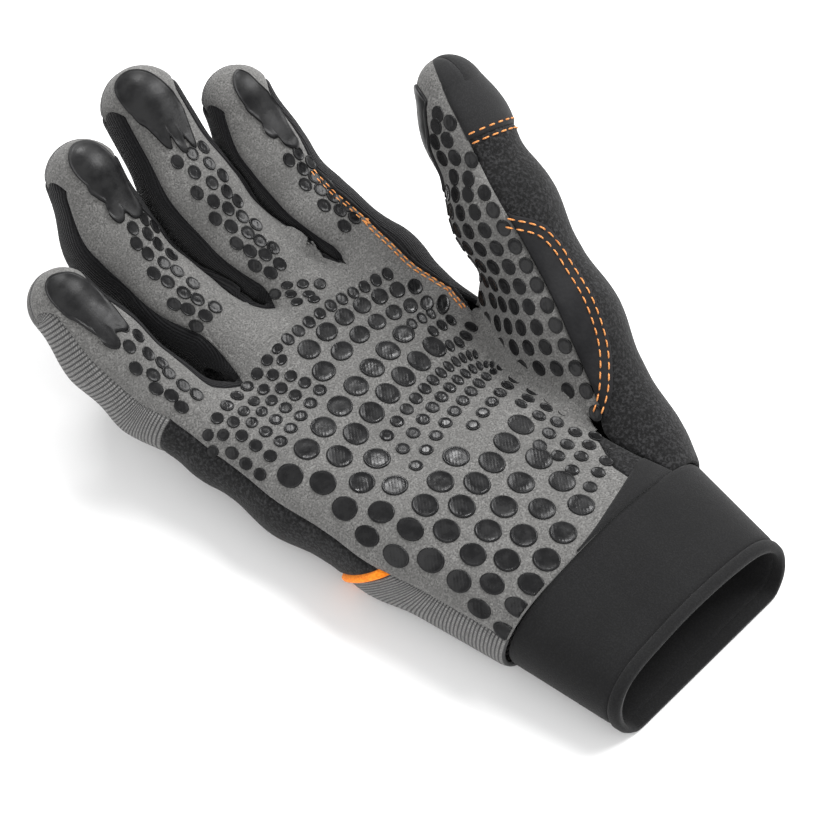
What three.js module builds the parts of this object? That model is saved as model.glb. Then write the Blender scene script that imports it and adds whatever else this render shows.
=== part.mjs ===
// Safety glove for the right hand, lying palm up. Millimetres, +Z up, fingers towards +Y, thumb towards +X.
// Every panel is a thin closed shell of cloth laid over one skin: the skin is the zero level of a smooth
// union of round cones, and a panel is a grid of rays cast from inside the hand out to that skin.
import * as THREE from 'three';

const CLOTH = 1.5;        // wall of the palm, finger and back panels
const STRETCH = 1.0;      // wall of the thin strips between the fingers
const NEOPRENE = 2.4;     // wall of the cuff
const GAP = 0.32;         // clear space between neighbouring pieces
const STRIP_GAP = 0.96;   // the same where two strips turn sharply at a web
const PAD_CLEAR = 0.51;   // a tip pad stands this far off the skin
const CUFF_SEAM_Y = -71;  // where the cuff is sewn to the hand
const CUFF_END_Y = -109;  // rim of the cuff on the back of the hand
const RIM_SLOPE = 0.22;   // the palm side of the rim stops this much earlier per mm of height
const PAD_THICK = 1.1;    // moulded rubber tip pads
const PATCH_THICK = 1.0;  // leather patch on the thumb
const FINGER_ROWS = 6;
const TIP_ROWS = 4;

// Round cones, one chain of balls each: [x, y, z, radius]
const BONES = {
  little: [[-40.4, 38.7, 17, 12.5], [-46.9, 56.7, 25, 11.2], [-50.1, 71.3, 36, 11], [-51.7, 85.5, 47, 10.2]],
  ring: [[-14.2, 50.1, 19, 13.5], [-22.4, 74.6, 28, 12.6], [-24.7, 94.8, 42, 12.4], [-21.3, 107.8, 57, 11.4]],
  middle: [[8.9, 50.5, 20, 14], [3.9, 70.7, 30, 13.2], [3.2, 89.3, 43, 13], [7.1, 112.5, 60, 12.5]],
  index: [[32.2, 44.7, 22, 14], [27.3, 64.1, 31, 12.6], [27, 83.8, 44, 12], [29.7, 96.1, 57, 10.8]],
};
const FINGERS = ['little', 'ring', 'middle', 'index'];
const THUMB = [[31.8, -71, 13.8, 14], [37.3, -53.2, 16, 14.5], [46.9, -19.1, 36, 14.5], [53.6, 12, 56, 14],
  [60.5, 33.8, 70, 11], [62.9, 42.8, 77, 9.3]];
const THUMB_WEB = [[38, -42, 16, 12], [42, -14, 27, 10], [43.5, 3, 33, 7]];
const PALM = [
  [[-22, -74, 14, 15], [-30, -25, 14.5, 15.5], [-35, 8, 13.8, 14.5], [-38.6, 29, 16, 13]],
  [[-6, -74, 15, 17], [-10, -30, 14, 16], [-13, 10, 13.6, 15], [-14.2, 40, 17.5, 14]],
  [[8, -74, 15, 17], [5, -30, 13.5, 15.5], [7, 10, 13.6, 15], [8.4, 40, 18, 14.5]],
  [[24, -74, 14.5, 16], [22, -30, 14, 16], [29, 10, 15, 15.5], [31.5, 36, 19, 14.5]],
];
const CUFF = [
  [[-21, -68, 14, 14.8], [-18, -114, 9.5, 10.5]],
  [[-4, -68, 16, 17.3], [-1.5, -114, 10, 11.5]],
  [[14, -68, 16, 17.8], [15, -114, 10, 11.5]],
  [[31, -68, 14, 14.8], [31, -114, 9.5, 10.5]],
];

// Small vector helpers on [x, y, z]
const add = (a, b, k = 1) => [a[0] + b[0] * k, a[1] + b[1] * k, a[2] + b[2] * k];
const mix = (a, b, t) => a.map((v, i) => v + (b[i] - v) * t);
const dot = (a, b) => a[0] * b[0] + a[1] * b[1] + a[2] * b[2];
const cross = (a, b) => [a[1] * b[2] - a[2] * b[1], a[2] * b[0] - a[0] * b[2], a[0] * b[1] - a[1] * b[0]];
const size = (a) => Math.hypot(a[0], a[1], a[2]);
const unit = (a) => a.map((v) => v / (size(a) || 1));
const rad = (deg) => deg * Math.PI / 180;
const clamp = (v, lo, hi) => Math.min(hi, Math.max(lo, v));
const ease = (t) => clamp(t, 0, 1) ** 2 * (3 - 2 * clamp(t, 0, 1));

// The skin: smooth minimum of round cones
function blend(a, b, k) {
  const h = Math.max(k - Math.abs(a - b), 0) / k;
  return Math.min(a, b) - h * h * k / 4;
}
function cone(p, a, b) {
  const ab = [b[0] - a[0], b[1] - a[1], b[2] - a[2]];
  const t = clamp(dot(add(p, a, -1), ab) / dot(ab, ab), 0, 1);
  const off = [p[0] - a[0] - ab[0] * t, p[1] - a[1] - ab[1] * t, p[2] - a[2] - ab[2] * t];
  return size(off) - (a[3] + (b[3] - a[3]) * t);
}
function chain(p, balls, k) {
  let d = cone(p, balls[0], balls[1]);
  for (let i = 1; i < balls.length - 1; i += 1) {
    d = blend(d, cone(p, balls[i], balls[i + 1]), k);
  }
  return d;
}
const rays = (p, chains, k, wide) => chains.map((c) => chain(p, c, k)).reduce((a, b) => blend(a, b, wide));
const onFloor = (d, p) => -blend(-d, p[2], 1);
const fingersOnly = (p) => rays(p, FINGERS.map((n) => BONES[n]), 8, 1.5);
// Narrow slots that part the fingers, each running up from its web midway between two fingers
const WEBS = [
  { near: 'little', far: 'ring', x: -27.3, y: 42, z: 17 },
  { near: 'ring', far: 'middle', x: -3.7, y: 53, z: 19 },
  { near: 'middle', far: 'index', x: 20.5, y: 47, z: 20 },
];
const SLOT = 0.6;         // half width of a slot
function edgeAt(balls, y, side) {
  let k = 0;
  while (k < balls.length - 2 && y > balls[k + 1][1]) {
    k += 1;
  }
  const t = clamp((y - balls[k][1]) / (balls[k + 1][1] - balls[k][1]), -0.5, 1.2);
  return balls[k][0] + (balls[k + 1][0] - balls[k][0]) * t
    + side * (balls[k][3] + (balls[k + 1][3] - balls[k][3]) * t);
}
function slots(p) {
  return WEBS.map((w) => {
    const mid = (edgeAt(BONES[w.near], p[1], 1) + edgeAt(BONES[w.far], p[1], -1)) / 2;
    return Math.max(Math.abs(p[0] - mid) - SLOT, w.y - p[1]);
  }).reduce((a, b) => Math.min(a, b));
}
const handSkin = (p) => onFloor(-blend(-blend(rays(p, PALM, 6, 16), fingersOnly(p), 7), slots(p), 1.5), p);
const thumbSkin = (p) => onFloor(blend(chain(p, THUMB, 8), chain(p, THUMB_WEB, 8), 9), p);
const cuffSkin = (p) => onFloor(rays(p, CUFF, 6, 14), p);

function slope(skin, p) {
  const e = 0.2;
  return unit([0, 1, 2].map((i) => {
    const q = [...p];
    q[i] += e;
    const r = [...p];
    r[i] -= e;
    return skin(q) - skin(r);
  }));
}
// First point of the skin along a ray that starts inside
function cast(skin, o, d) {
  let t = 0;
  let f = skin(o);
  let last = 0;
  for (let i = 0; i < 120 && f < -0.02; i += 1) {
    last = t;
    t += Math.max(-f * 0.6, 0.05);
    f = skin(add(o, d, t));
  }
  for (let i = 0; i < 12; i += 1) {
    const m = (last + t) / 2;
    if (skin(add(o, d, m)) < 0) {
      last = m;
    } else {
      t = m;
    }
  }
  return add(o, d, (last + t) / 2);
}

// A point on a chain's centre line at station s, 0 to the number of cones, rounded through the balls
function along(balls, s) {
  const n = balls.length - 1;
  const i = clamp(Math.floor(s), 0, n - 1);
  const u = s - i;
  const a = balls[Math.max(i - 1, 0)];
  const b = balls[i];
  const c = balls[i + 1];
  const d = balls[Math.min(i + 2, n)];
  return [0, 1, 2].map((k) => b[k] + (c[k] - a[k]) * u / 2
    + (a[k] - 2.5 * b[k] + 2 * c[k] - d[k] / 2) * u * u
    + (1.5 * (b[k] - c[k]) + (d[k] - a[k]) / 2) * u * u * u);
}
const heading = (balls, s) => {
  const n = balls.length - 1;
  const lo = clamp(s - 0.05, 0, n);
  const hi = clamp(s + 0.05, 0, n);
  return unit(add(along(balls, hi), along(balls, lo), -1));
};

const BASE_V = 0.13;           // the finger grids start just above the webs

// Finger rays. v runs 0 to 1 along the finger and 1 to 2 round its tip; angle 0 faces the palm side,
// +90 the thumb side, 180 the back.
function fingerRay(name, v, angle) {
  const balls = BONES[name];
  const s = Math.min(v, 1) * (balls.length - 1);
  const t = unit(mix([0, 1, 0.1], heading(balls, s), ease((v - BASE_V) / 0.3)));
  const b = unit(cross(t, [0, 0, 1]));
  const n = cross(b, t);
  const phi = rad(clamp(v - 1, 0, 1) * 90);
  const a = rad(angle);
  let d = add([0, 0, 0], n, Math.cos(phi) * Math.cos(a));
  d = add(d, b, Math.sin(a));
  d = add(d, t, Math.sin(phi) * Math.abs(Math.cos(a)));
  return { o: along(balls, s), d: unit(d) };
}
// Seam between the palm side and the side panels, opening out round the tip
const BASE_PINCH = 10;         // the seams draw closer together at the foot of a finger
const seamAngle = (v, shaft) => (v <= 1
  ? shaft - BASE_PINCH * ease(1 - v / 0.5)
  : shaft + (86 - shaft) * (v - 1));
const FRONT_SEAM = 47;
const BACK_SEAM = 50;          // measured from the back of the finger
const INDEX_SEAM = 20;         // the index seam runs further onto the palm side
const indexSeam = (v) => {
  const shaft = INDEX_SEAM + 27 * ease((v - 0.3) / 0.6);
  return v <= 1 ? shaft : shaft + (86 - shaft) * (v - 1);
};
const rowsV = [
  ...Array.from({ length: FINGER_ROWS }, (_, i) => BASE_V + (1 - BASE_V) * i / FINGER_ROWS),
  ...Array.from({ length: TIP_ROWS + 1 }, (_, i) => 1 + i / TIP_ROWS),
];

// Hand rays. f runs 0 to 3 from the little finger's ray to the index's; angle 0 is up, 180 down.
function palmRay(f, y, angle) {
  const i = clamp(Math.floor(f), 0, 2);
  const at = (balls) => {
    let k = 0;
    while (k < balls.length - 2 && y > balls[k + 1][1]) {
      k += 1;
    }
    return mix(balls[k], balls[k + 1], (y - balls[k][1]) / (balls[k + 1][1] - balls[k][1]));
  };
  const o = mix(at(PALM[i]), at(PALM[i + 1]), f - i);
  return { o: [o[0], y, o[2]], d: [Math.sin(rad(angle)), 0, Math.cos(rad(angle))] };
}
// Angles round the index's ray where the thumb's skin cuts the hand's: fold above, crease below
const LAST_CREASE = 165;       // the crease is looked for no further round than this
function thumbCut(y) {
  let fold = null;
  let crease = null;
  let was = 1;
  for (let a = 0; a <= LAST_CREASE; a += 1) {
    const r = palmRay(3, y, a);
    const f = thumbSkin(cast(handSkin, r.o, r.d));
    if (f < 0 && was >= 0 && fold === null) {
      fold = a - f / (f - was);
    }
    if (f >= 0 && was < 0) {
      crease = a - f / (f - was);
    }
    was = f;
  }
  if (was < 0) {
    crease = LAST_CREASE;
  }
  return { fold, crease };
}
let webY = 20;
while (webY > -40 && thumbCut(webY).fold === null) {
  webY -= 0.5;
}
const WEB_Y = webY;
const webCut = thumbCut(WEB_Y);
const WEB_ANGLE = (webCut.fold + webCut.crease) / 2;
const OPEN_RUN = 16;           // past the web the seam takes this long to reach the index finger's own
const openSeam = (y) => INDEX_SEAM + (WEB_ANGLE - INDEX_SEAM) * (1 - ease((y - WEB_Y) / OPEN_RUN));

// A grid of skin points cast from a grid of rays: rows of {o, d}
const castGrid = (skin, grid) => grid.map((row) => row.map((r) => cast(skin, r.o, r.d)));

// Closed thin shell over one or more point grids that share their common edges exactly.
// lift raises the outer face off the skin; edges are drawn in by gap / 2.
function shell(name, grids, skin, wall, colour, lift = 0, gap = GAP) {
  const pts = [];
  const index = new Map();
  const faces = [];
  const key = (p) => p.map((v) => Math.round(v * 500)).join(',');
  const id = (p) => {
    const k = key(p);
    if (!index.has(k)) {
      index.set(k, pts.length);
      pts.push(p);
    }
    return index.get(k);
  };
  const face = (a, b, c) => {
    if (a !== b && b !== c && c !== a) {
      faces.push([a, b, c]);
    }
  };
  for (const g of grids) {
    for (let j = 0; j < g.length - 1; j += 1) {
      for (let i = 0; i < g[j].length - 1; i += 1) {
        const [a, b, c, d] = [id(g[j][i]), id(g[j][i + 1]), id(g[j + 1][i + 1]), id(g[j + 1][i])];
        face(a, b, c);
        face(a, c, d);
      }
    }
  }
  const used = new Map();
  for (const [a, b, c] of faces) {
    for (const [p, q] of [[a, b], [b, c], [c, a]]) {
      used.set(`${p}_${q}`, [p, q]);
    }
  }
  const rim = [...used.values()].filter(([p, q]) => !used.has(`${q}_${p}`));
  // draw the rim in: each rim point moves square to its two rim edges, along the skin
  const normals = pts.map((p) => slope(skin, p));
  const push = pts.map(() => [0, 0, 0]);
  for (const [p, q] of rim) {
    const e = unit(add(pts[q], pts[p], -1));
    const side = unit(cross(normals[p], e));
    push[p] = add(push[p], side);
    push[q] = add(push[q], side);
  }
  const turned = faces.reduce((s, [a, b, c]) => {
    const n = cross(add(pts[b], pts[a], -1), add(pts[c], pts[a], -1));
    return s + dot(n, normals[a]);
  }, 0) < 0 ? -1 : 1;
  const onRim = new Set(rim.flat());
  const flat = pts.map((p, i) => {
    if (!onRim.has(i) || size(push[i]) < 1e-6) {
      return p;
    }
    const s = unit(push[i]);
    return add(p, s, turned * gap / 2 / Math.max(0.5, size(push[i]) / 2));
  });
  const outer = flat.map((p, i) => add(p, normals[i], lift)).map((p) => [p[0], p[1], Math.max(p[2], 0)]);
  const inner = flat.map((p, i) => add(p, normals[i], lift - wall));
  const n = pts.length;
  const pos = new Float32Array([...outer, ...inner].flat());
  const tri = [];
  const put = (a, b, c) => (turned > 0 ? tri.push(a, b, c) : tri.push(a, c, b));
  for (const [a, b, c] of faces) {
    put(a, b, c);
    put(n + a, n + c, n + b);
  }
  for (const [p, q] of rim) {
    put(q, p, n + p);
    put(q, n + p, n + q);
  }
  const geometry = new THREE.BufferGeometry();
  geometry.setAttribute('position', new THREE.BufferAttribute(pos, 3));
  geometry.setIndex(tri);
  geometry.computeVertexNormals();
  const mesh = new THREE.Mesh(geometry, new THREE.MeshStandardMaterial({ color: colour, roughness: 0.85 }));
  mesh.name = name;
  group.add(mesh);
  return mesh;
}

const group = new THREE.Group();
group.name = 'safety_glove';
const GREY = 0x7b7c7e;
const BLACK = 0x232325;
const ORANGE = 0xe8822a;

const WEB_DEPTH = 7;           // the web rays start this far below its edge
// Rays round a web, from the palm side over the web's edge to the back
function crotchRay(k, angle) {
  const c = WEBS[k];
  return { o: [c.x, c.y - WEB_DEPTH, c.z], d: [0, Math.sin(rad(angle)), Math.cos(rad(angle))] };
}
const between = (a, b, t) => ({ o: mix(a.o, b.o, t), d: unit(mix(a.d, b.d, t)) });
const WEB_MIX = 0.72;
const CROTCH_FRONT = 14;       // the palm seam passes the web this far from straight up
const CROTCH_BACK = 174;

// Top row of the hand's panels: finger columns with the webs between them
const FRONT_COLS = 5;
function topRow(edge, cols, web) {
  const row = [];
  const flow = (side, k) => clamp((side + k - cols[0] + 3) / 8, 0, 3);
  FINGERS.forEach((name, i) => {
    const start = row.length;
    for (let k = 0; k < cols[i]; k += 1) {
      row.push({ finger: i, f: flow(start, k), k, n: cols[i], ray: edge(name, BASE_V, k / (cols[i] - 1)) });
    }
    if (i < 3) {
      const a = edge(name, BASE_V, 1);
      const b = edge(FINGERS[i + 1], BASE_V, 0);
      const c = crotchRay(i, web);
      const at = start + cols[i];
      row.push({ finger: i, f: flow(at, 0), k: 0, n: 1, ray: between(a, c, WEB_MIX) });
      row.push({ finger: i, f: flow(at, 1), k: 0, n: 1, ray: c });
      row.push({ finger: i, f: flow(at, 2), k: 0, n: 1, ray: between(c, b, 1 - WEB_MIX) });
    }
  });
  return row;
}
const frontRay = (name, v, u) => {
  const lo = -seamAngle(v, FRONT_SEAM);
  const hi = name === 'index' ? indexSeam(v) : seamAngle(v, FRONT_SEAM);
  return fingerRay(name, v, lo + (hi - lo) * u);
};
// Back of the finger; the little finger's back also wraps its outer side
const backRay = (name, v, u) => {
  const lo = 180 - seamAngle(v, BACK_SEAM);
  const hi = name === 'little' ? 360 - seamAngle(v, FRONT_SEAM) : 180 + seamAngle(v, BACK_SEAM);
  return fingerRay(name, v, hi + (lo - hi) * u);
};

// Body rows below a top row: u is the column's place across its finger, y follows the column
const FRONT_ULNAR = -62;
function frontBody(c, u, y, w) {
  let a = 0;
  if (c.n > 1 && c.finger === 0) {
    a = FRONT_ULNAR * clamp(1 - u / 0.6, 0, 1);
  }
  if (c.n > 1 && c.finger === 3) {
    a = w * clamp((u - 0.35) / 0.65, 0, 1);
  }
  return palmRay(c.f, y, a);
}
function backBody(c, u, y, w) {
  let a = 180;
  if (c.n > 1 && c.finger === 0) {
    a = 360 + FRONT_ULNAR - (180 + FRONT_ULNAR) * clamp(u / 0.75, 0, 1);
  }
  if (c.n > 1 && c.finger === 3) {
    a = 180 + (w - 180) * clamp((u - 0.3) / 0.7, 0, 1);
  }
  return palmRay(c.f, y, a);
}
// Stations from the cuff seam, 0, to the foot of the fingers, 1
const HAND_V = [0, 0.08, 0.16, 0.24, 0.32, 0.4, 0.426, 0.5, 0.58, 0.66, 0.74, 0.82, 0.91, 1];
const PIPING_V = [0.4, 0.426];
const SEAM_STEP = 2;           // degrees from the fold or the crease to a panel's edge beside it
const FLOW_V = 0.45;           // above this the rays turn from the hand's to the fingers'
function bodyGrid(top, body, edgeAngle, stations) {
  const feet = FINGERS.map((name) => fingerRay(name, BASE_V, 0).o[1]);
  return stations.map((v) => top.map((c) => {
    const u = c.n > 1 ? c.k / (c.n - 1) : 0;
    const i = clamp(Math.floor(c.f), 0, 2);
    const foot = feet[i] + (feet[i + 1] - feet[i]) * ease(c.f - i);
    const y = CUFF_SEAM_Y + (foot - CUFF_SEAM_Y) * v;
    const part = ease((v - FLOW_V) / (1 - FLOW_V));
    const r = body(c, u, y, edgeAngle(y));
    return part > 0 ? between(r, c.ray, part) : r;
  }));
}

// Palm panel: the palm and the fronts of the four fingers in one piece
{
  const cols = [FRONT_COLS, FRONT_COLS, FRONT_COLS, FRONT_COLS];
  const top = topRow(frontRay, cols, CROTCH_FRONT);
  const seam = (y) => {
    if (y > WEB_Y) {
      return openSeam(y);
    }
    const cut = thumbCut(y);
    return (cut.fold === null ? WEB_ANGLE : cut.fold) - SEAM_STEP;
  };
  const grids = [castGrid(handSkin, bodyGrid(top, frontBody, seam, HAND_V))];
  for (const name of FINGERS) {
    grids.push(castGrid(handSkin, rowsV.map((v) => Array.from({ length: FRONT_COLS },
      (_, k) => frontRay(name, v, k / (FRONT_COLS - 1))))));
  }
  shell('palm_panel', grids, handSkin, CLOTH, GREY);
}

// Finger backs
for (const name of FINGERS) {
  const n = name === 'little' ? 9 : FRONT_COLS;
  const g = castGrid(handSkin, rowsV.map((v) => Array.from({ length: n },
    (_, k) => backRay(name, v, k / (n - 1)))));
  shell(`finger_back_${name}`, [g], handSkin, CLOTH, GREY);
}

// Fourchettes: side strips down one finger, round the web and up the next
const SIDE_COLS = 4;
const tipStop = (v) => v < 1.9;
function sideStrip(name, side, v) {
  const a = name === 'index' && side > 0 ? indexSeam(v) : seamAngle(v, FRONT_SEAM);
  const b = 180 - seamAngle(v, BACK_SEAM);
  return Array.from({ length: SIDE_COLS },
    (_, k) => fingerRay(name, v, side * (a + (b - a) * k / (SIDE_COLS - 1))));
}
for (let i = 0; i < 3; i += 1) {
  const [near, far] = [FINGERS[i], FINGERS[i + 1]];
  const rows = [];
  rowsV.filter(tipStop).reverse().forEach((v) => rows.push(sideStrip(near, 1, v)));
  const mid = Array.from({ length: SIDE_COLS },
    (_, k) => crotchRay(i, CROTCH_FRONT + (CROTCH_BACK - CROTCH_FRONT) * k / (SIDE_COLS - 1)));
  const down = sideStrip(near, 1, BASE_V);
  const up = sideStrip(far, -1, BASE_V);
  rows.push(down.map((r, k) => between(r, mid[k], WEB_MIX)));
  rows.push(mid);
  rows.push(up.map((r, k) => between(mid[k], r, 1 - WEB_MIX)));
  rowsV.filter(tipStop).forEach((v) => rows.push(sideStrip(far, -1, v)));
  shell(`fourchette_${near}_${far}`, [castGrid(handSkin, rows)], handSkin, STRETCH, BLACK, 0, STRIP_GAP);
}

// Index side panel: down the thumb side of the index finger to the web, then under the thumb
const SIDE_BACK = 130;
const underSeam = (y) => {
  const cut = thumbCut(y);
  return (cut.crease === null ? WEB_ANGLE : cut.crease) + SEAM_STEP;
};
{
  const rows = rowsV.filter(tipStop).reverse().map((v) => sideStrip('index', 1, v));
  const first = sideStrip('index', 1, BASE_V);
  for (const v of HAND_V.filter((h) => h >= PIPING_V[1] && h < 1).reverse()) {
    const y = CUFF_SEAM_Y + (first[0].o[1] - CUFF_SEAM_Y) * v;
    const lo = y > WEB_Y ? openSeam(y) : underSeam(y);
    const part = ease((v - FLOW_V) / (1 - FLOW_V));
    rows.push(first.map((r, k) => {
      const body = palmRay(3, y, lo + (SIDE_BACK - lo) * k / (SIDE_COLS - 1));
      return part > 0 ? between(body, r, part) : body;
    }));
  }
  shell('index_side_panel', [castGrid(handSkin, rows)], handSkin, CLOTH, BLACK);
}

// Back of the hand: knuckle panel, piping and back panel
const BACK_COLS = [9, FRONT_COLS, FRONT_COLS, FRONT_COLS];
{
  const top = topRow((name, v, u) => backRay(name, v, u), BACK_COLS, CROTCH_BACK);
  const upper = bodyGrid(top, backBody, () => SIDE_BACK, HAND_V.filter((v) => v >= PIPING_V[1]));
  shell('knuckle_panel', [castGrid(handSkin, upper)], handSkin, CLOTH, BLACK);
  const lower = bodyGrid(top, backBody, underSeam, HAND_V.filter((v) => v <= PIPING_V[0]));
  shell('back_panel', [castGrid(handSkin, lower)], handSkin, CLOTH, GREY);
  const cord = bodyGrid(top, backBody, (y) => Math.max(SIDE_BACK, underSeam(y)), PIPING_V);
  shell('piping', [castGrid(handSkin, cord)], handSkin, CLOTH, ORANGE);
}

// Thumb rays: station s along the thumb's chain, then one more round its tip. The angle is measured from
// the middle of the front panel, towards the outer border when positive.
const THUMB_END = THUMB.length - 1;
const THUMB_FACE = 78;         // the front's middle line, degrees from the top towards the palm
const THUMB_SEAM = 47;
function thumbRay(s, angle) {
  const at = Math.min(s, THUMB_END);
  const t = unit(mix([0, 1, 0], heading(THUMB, at), ease(s / 1.1)));
  const up = unit(add([0, 0, 1], t, -t[2]));
  const left = cross(up, t);
  const c = rad(THUMB_FACE);
  const n = add(add([0, 0, 0], up, Math.cos(c)), left, Math.sin(c));
  const b = add(add([0, 0, 0], up, Math.sin(c)), left, -Math.cos(c));
  const phi = rad(clamp(s - THUMB_END, 0, 1) * 90);
  const a = rad(angle);
  let d = add([0, 0, 0], n, Math.cos(phi) * Math.cos(a));
  d = add(d, b, Math.sin(a));
  d = add(d, t, Math.sin(phi) * Math.abs(Math.cos(a)));
  return { o: along(THUMB, at), d: unit(d) };
}
// Angles round the thumb where the hand's skin cuts the thumb's
function handCut(s) {
  const find = (from, to) => {
    const step = Math.sign(to - from);
    let was = null;
    for (let a = from; a !== to; a += step) {
      const r = thumbRay(s, a);
      const f = handSkin(cast(thumbSkin, r.o, r.d));
      if (f < 0) {
        return was === null ? a : a - step * f / (f - was);
      }
      was = f;
    }
    return null;
  };
  return { fold: find(78, -122), crease: find(98, 308) };
}
const tipOpen = (s, a) => (s <= THUMB_END ? a : a + (86 - a) * (s - THUMB_END));
const BOW = 9;                 // the border seam bows this many degrees outwards half way along
const border = (s) => tipOpen(s, THUMB_SEAM + BOW * Math.sin(Math.PI * clamp((s - 1.2) / 3.4, 0, 1)));
let webS = 1.5;
while (webS < 4 && handCut(webS).fold !== null) {
  webS += 0.05;
}
const WEB_S = webS;
const webSide = handCut(WEB_S - 0.05);
const CUT_DEG = 2.2;           // degrees from the hand's skin to the thumb's panels
const FOOT_PINCH = 10;         // the back panel draws in by this at the cuff
function thumbEdges(s) {
  const cut = handCut(s);
  if (cut.fold !== null && cut.crease !== null) {
    const pinch = FOOT_PINCH * ease(1 - s / 1.2);
    return { top: border(s), low: cut.fold + CUT_DEG, far: cut.crease - CUT_DEG - pinch };
  }
  const meet = (webSide.fold + webSide.crease - 360) / 2;
  const t = ease((s - WEB_S) / 0.7);
  const low = s > THUMB_END ? -tipOpen(s, THUMB_SEAM) : meet + (-THUMB_SEAM - meet) * t;
  return { top: border(s), low, far: low + 360 };
}
const THUMB_ROWS = [0, 0.35, 0.72, 1.1, 1.4, 1.7, 2, 2.3, 2.6, 2.9, 3.2, 3.6, 4, 4.5, 5, 5.25, 5.5, 5.75, 6];
const FRONT_FROM = 1.2;        // the front panel starts past this station
const THUMB_FRONT_COLS = 6;
const THUMB_BACK_COLS = 12;
const fan = (s, from, to, cols) => Array.from({ length: cols },
  (_, k) => thumbRay(s, from + (to - from) * k / (cols - 1)));
{
  const edges = THUMB_ROWS.map((s) => ({ s, ...thumbEdges(s) }));
  const front = edges.filter((e) => e.s > FRONT_FROM).map((e) => fan(e.s, e.low, e.top, THUMB_FRONT_COLS));
  shell('thumb_front', [castGrid(thumbSkin, front)], thumbSkin, CLOTH, GREY);
  const back = edges.map((e) => fan(e.s, e.s > FRONT_FROM ? e.top : e.low, e.far, THUMB_BACK_COLS));
  shell('thumb_back', [castGrid(thumbSkin, back)], thumbSkin, CLOTH, BLACK);
}

// Leather patch over the thumb's saddle, edged by two rows of stitches
const PATCH = { from: 1.38, to: 2.95, wide: 44, inset: 2, rows: 9, cols: 5 };
{
  const rows = [];
  for (let j = 0; j < PATCH.rows; j += 1) {
    const t = j / (PATCH.rows - 1);
    const s = PATCH.from + (PATCH.to - PATCH.from) * t;
    const w = PATCH.wide * Math.max(0.12, Math.sin(Math.PI * clamp(0.08 + 0.84 * t, 0, 1)) ** 0.6);
    const edge = border(s) + PATCH.inset;
    rows.push(fan(s, edge, edge + w, PATCH.cols));
  }
  shell('thumb_patch', [castGrid(thumbSkin, rows)], thumbSkin, PATCH_THICK, BLACK, PATCH_THICK + GAP, 0);
}

// Tip pads, moulded on the palm side of every tip
const PADS = [
  { finger: 'little', from: 0.86, to: 1.9, wide: 38 },
  { finger: 'ring', from: 0.8, to: 1.9, wide: 38 },
  { finger: 'middle', from: 0.8, to: 1.9, wide: 38 },
  { finger: 'index', from: 0.84, to: 1.9, wide: 36 },
];
const PAD_ROWS = 9;
const PAD_COLS = 5;
for (const p of PADS) {
  const rows = [];
  for (let j = 0; j < PAD_ROWS; j += 1) {
    const t = j / (PAD_ROWS - 1);
    const v = p.from + (p.to - p.from) * t;
    const w = p.wide * Math.sin(Math.PI * (0.07 + 0.86 * t)) ** 0.5 * (1 + 0.3 * clamp(v - 1, 0, 1));
    rows.push(Array.from({ length: PAD_COLS },
      (_, k) => fingerRay(p.finger, v, w * (2 * k / (PAD_COLS - 1) - 1))));
  }
  shell(`pad_${p.finger}`, [castGrid(handSkin, rows)], handSkin, PAD_THICK, BLACK, PAD_THICK + PAD_CLEAR, 0);
}

// Cuff and its hem: rings of rays round a flattened tube
const CUFF_COLS = 36;
const HEM = 4;
const HEM_LIFT = 0.4;
const CUFF_GAP = 0.6;
function cuffPoint(k, t) {
  const a = rad(360 * (k % CUFF_COLS) / CUFF_COLS);
  const d = [Math.sin(a), 0, Math.cos(a)];
  const ray = (y) => ({ o: [CUFF_CORE.x + CUFF_CORE.wide * d[0], y, CUFF_CORE.z], d });
  const rim = ray(CUFF_END_Y + 1);
  const end = CUFF_END_Y + RIM_SLOPE * cast(cuffSkin, rim.o, rim.d)[2];
  const r = ray(CUFF_SEAM_Y - CUFF_GAP + (end - CUFF_SEAM_Y + CUFF_GAP) * t);
  return cast(cuffSkin, r.o, r.d);
}
const ring = (t) => Array.from({ length: CUFF_COLS + 1 }, (_, k) => cuffPoint(k, t));
const HEM_T = 1 - HEM / (CUFF_SEAM_Y - CUFF_END_Y);
const CUFF_CORE = { x: 6, z: 11, wide: 22 };
shell('cuff', [[0, 0.16, 0.33, 0.5, 0.66, 0.8, HEM_T].map(ring)], cuffSkin, NEOPRENE, BLACK);
shell('cuff_hem', [[HEM_T, (HEM_T + 1) / 2, 1].map(ring)], cuffSkin, NEOPRENE + HEM_LIFT, BLACK, HEM_LIFT);

export default group;
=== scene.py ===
"""Looks of a right-hand safety glove that lies palm up on a pale floor.

The glove's skin is the zero level of a smooth union of round cones along its fingers, thumb, palm and cuff.
Each panel of cloth is a grid of rays cast from inside the hand out to that skin, and the grip dots, pads,
stitches and piping lie on it. Lengths are in millimetres until a mesh is made.
"""
import math

import bpy
import numpy as np
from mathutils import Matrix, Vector


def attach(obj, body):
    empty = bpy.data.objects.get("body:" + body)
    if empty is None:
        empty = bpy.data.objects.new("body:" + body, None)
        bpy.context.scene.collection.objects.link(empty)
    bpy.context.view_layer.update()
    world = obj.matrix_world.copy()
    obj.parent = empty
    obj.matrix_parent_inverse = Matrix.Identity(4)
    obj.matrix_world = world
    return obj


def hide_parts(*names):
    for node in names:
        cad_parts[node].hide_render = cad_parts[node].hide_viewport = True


MM = 0.001            # metres in a millimetre
CLOTH = 1.5           # wall of the panels
THIN = 1.0            # wall of the strips between the fingers and of the leather patch
NEOPRENE = 2.4        # wall of the cuff
CUFF_SEAM_Y = -71.0   # where the cuff is sewn to the hand
CUFF_END_Y = -109.0   # rim of the cuff on the back of the hand
RIM_SLOPE = 0.22      # the palm side of the rim stops this much earlier per mm of height

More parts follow.
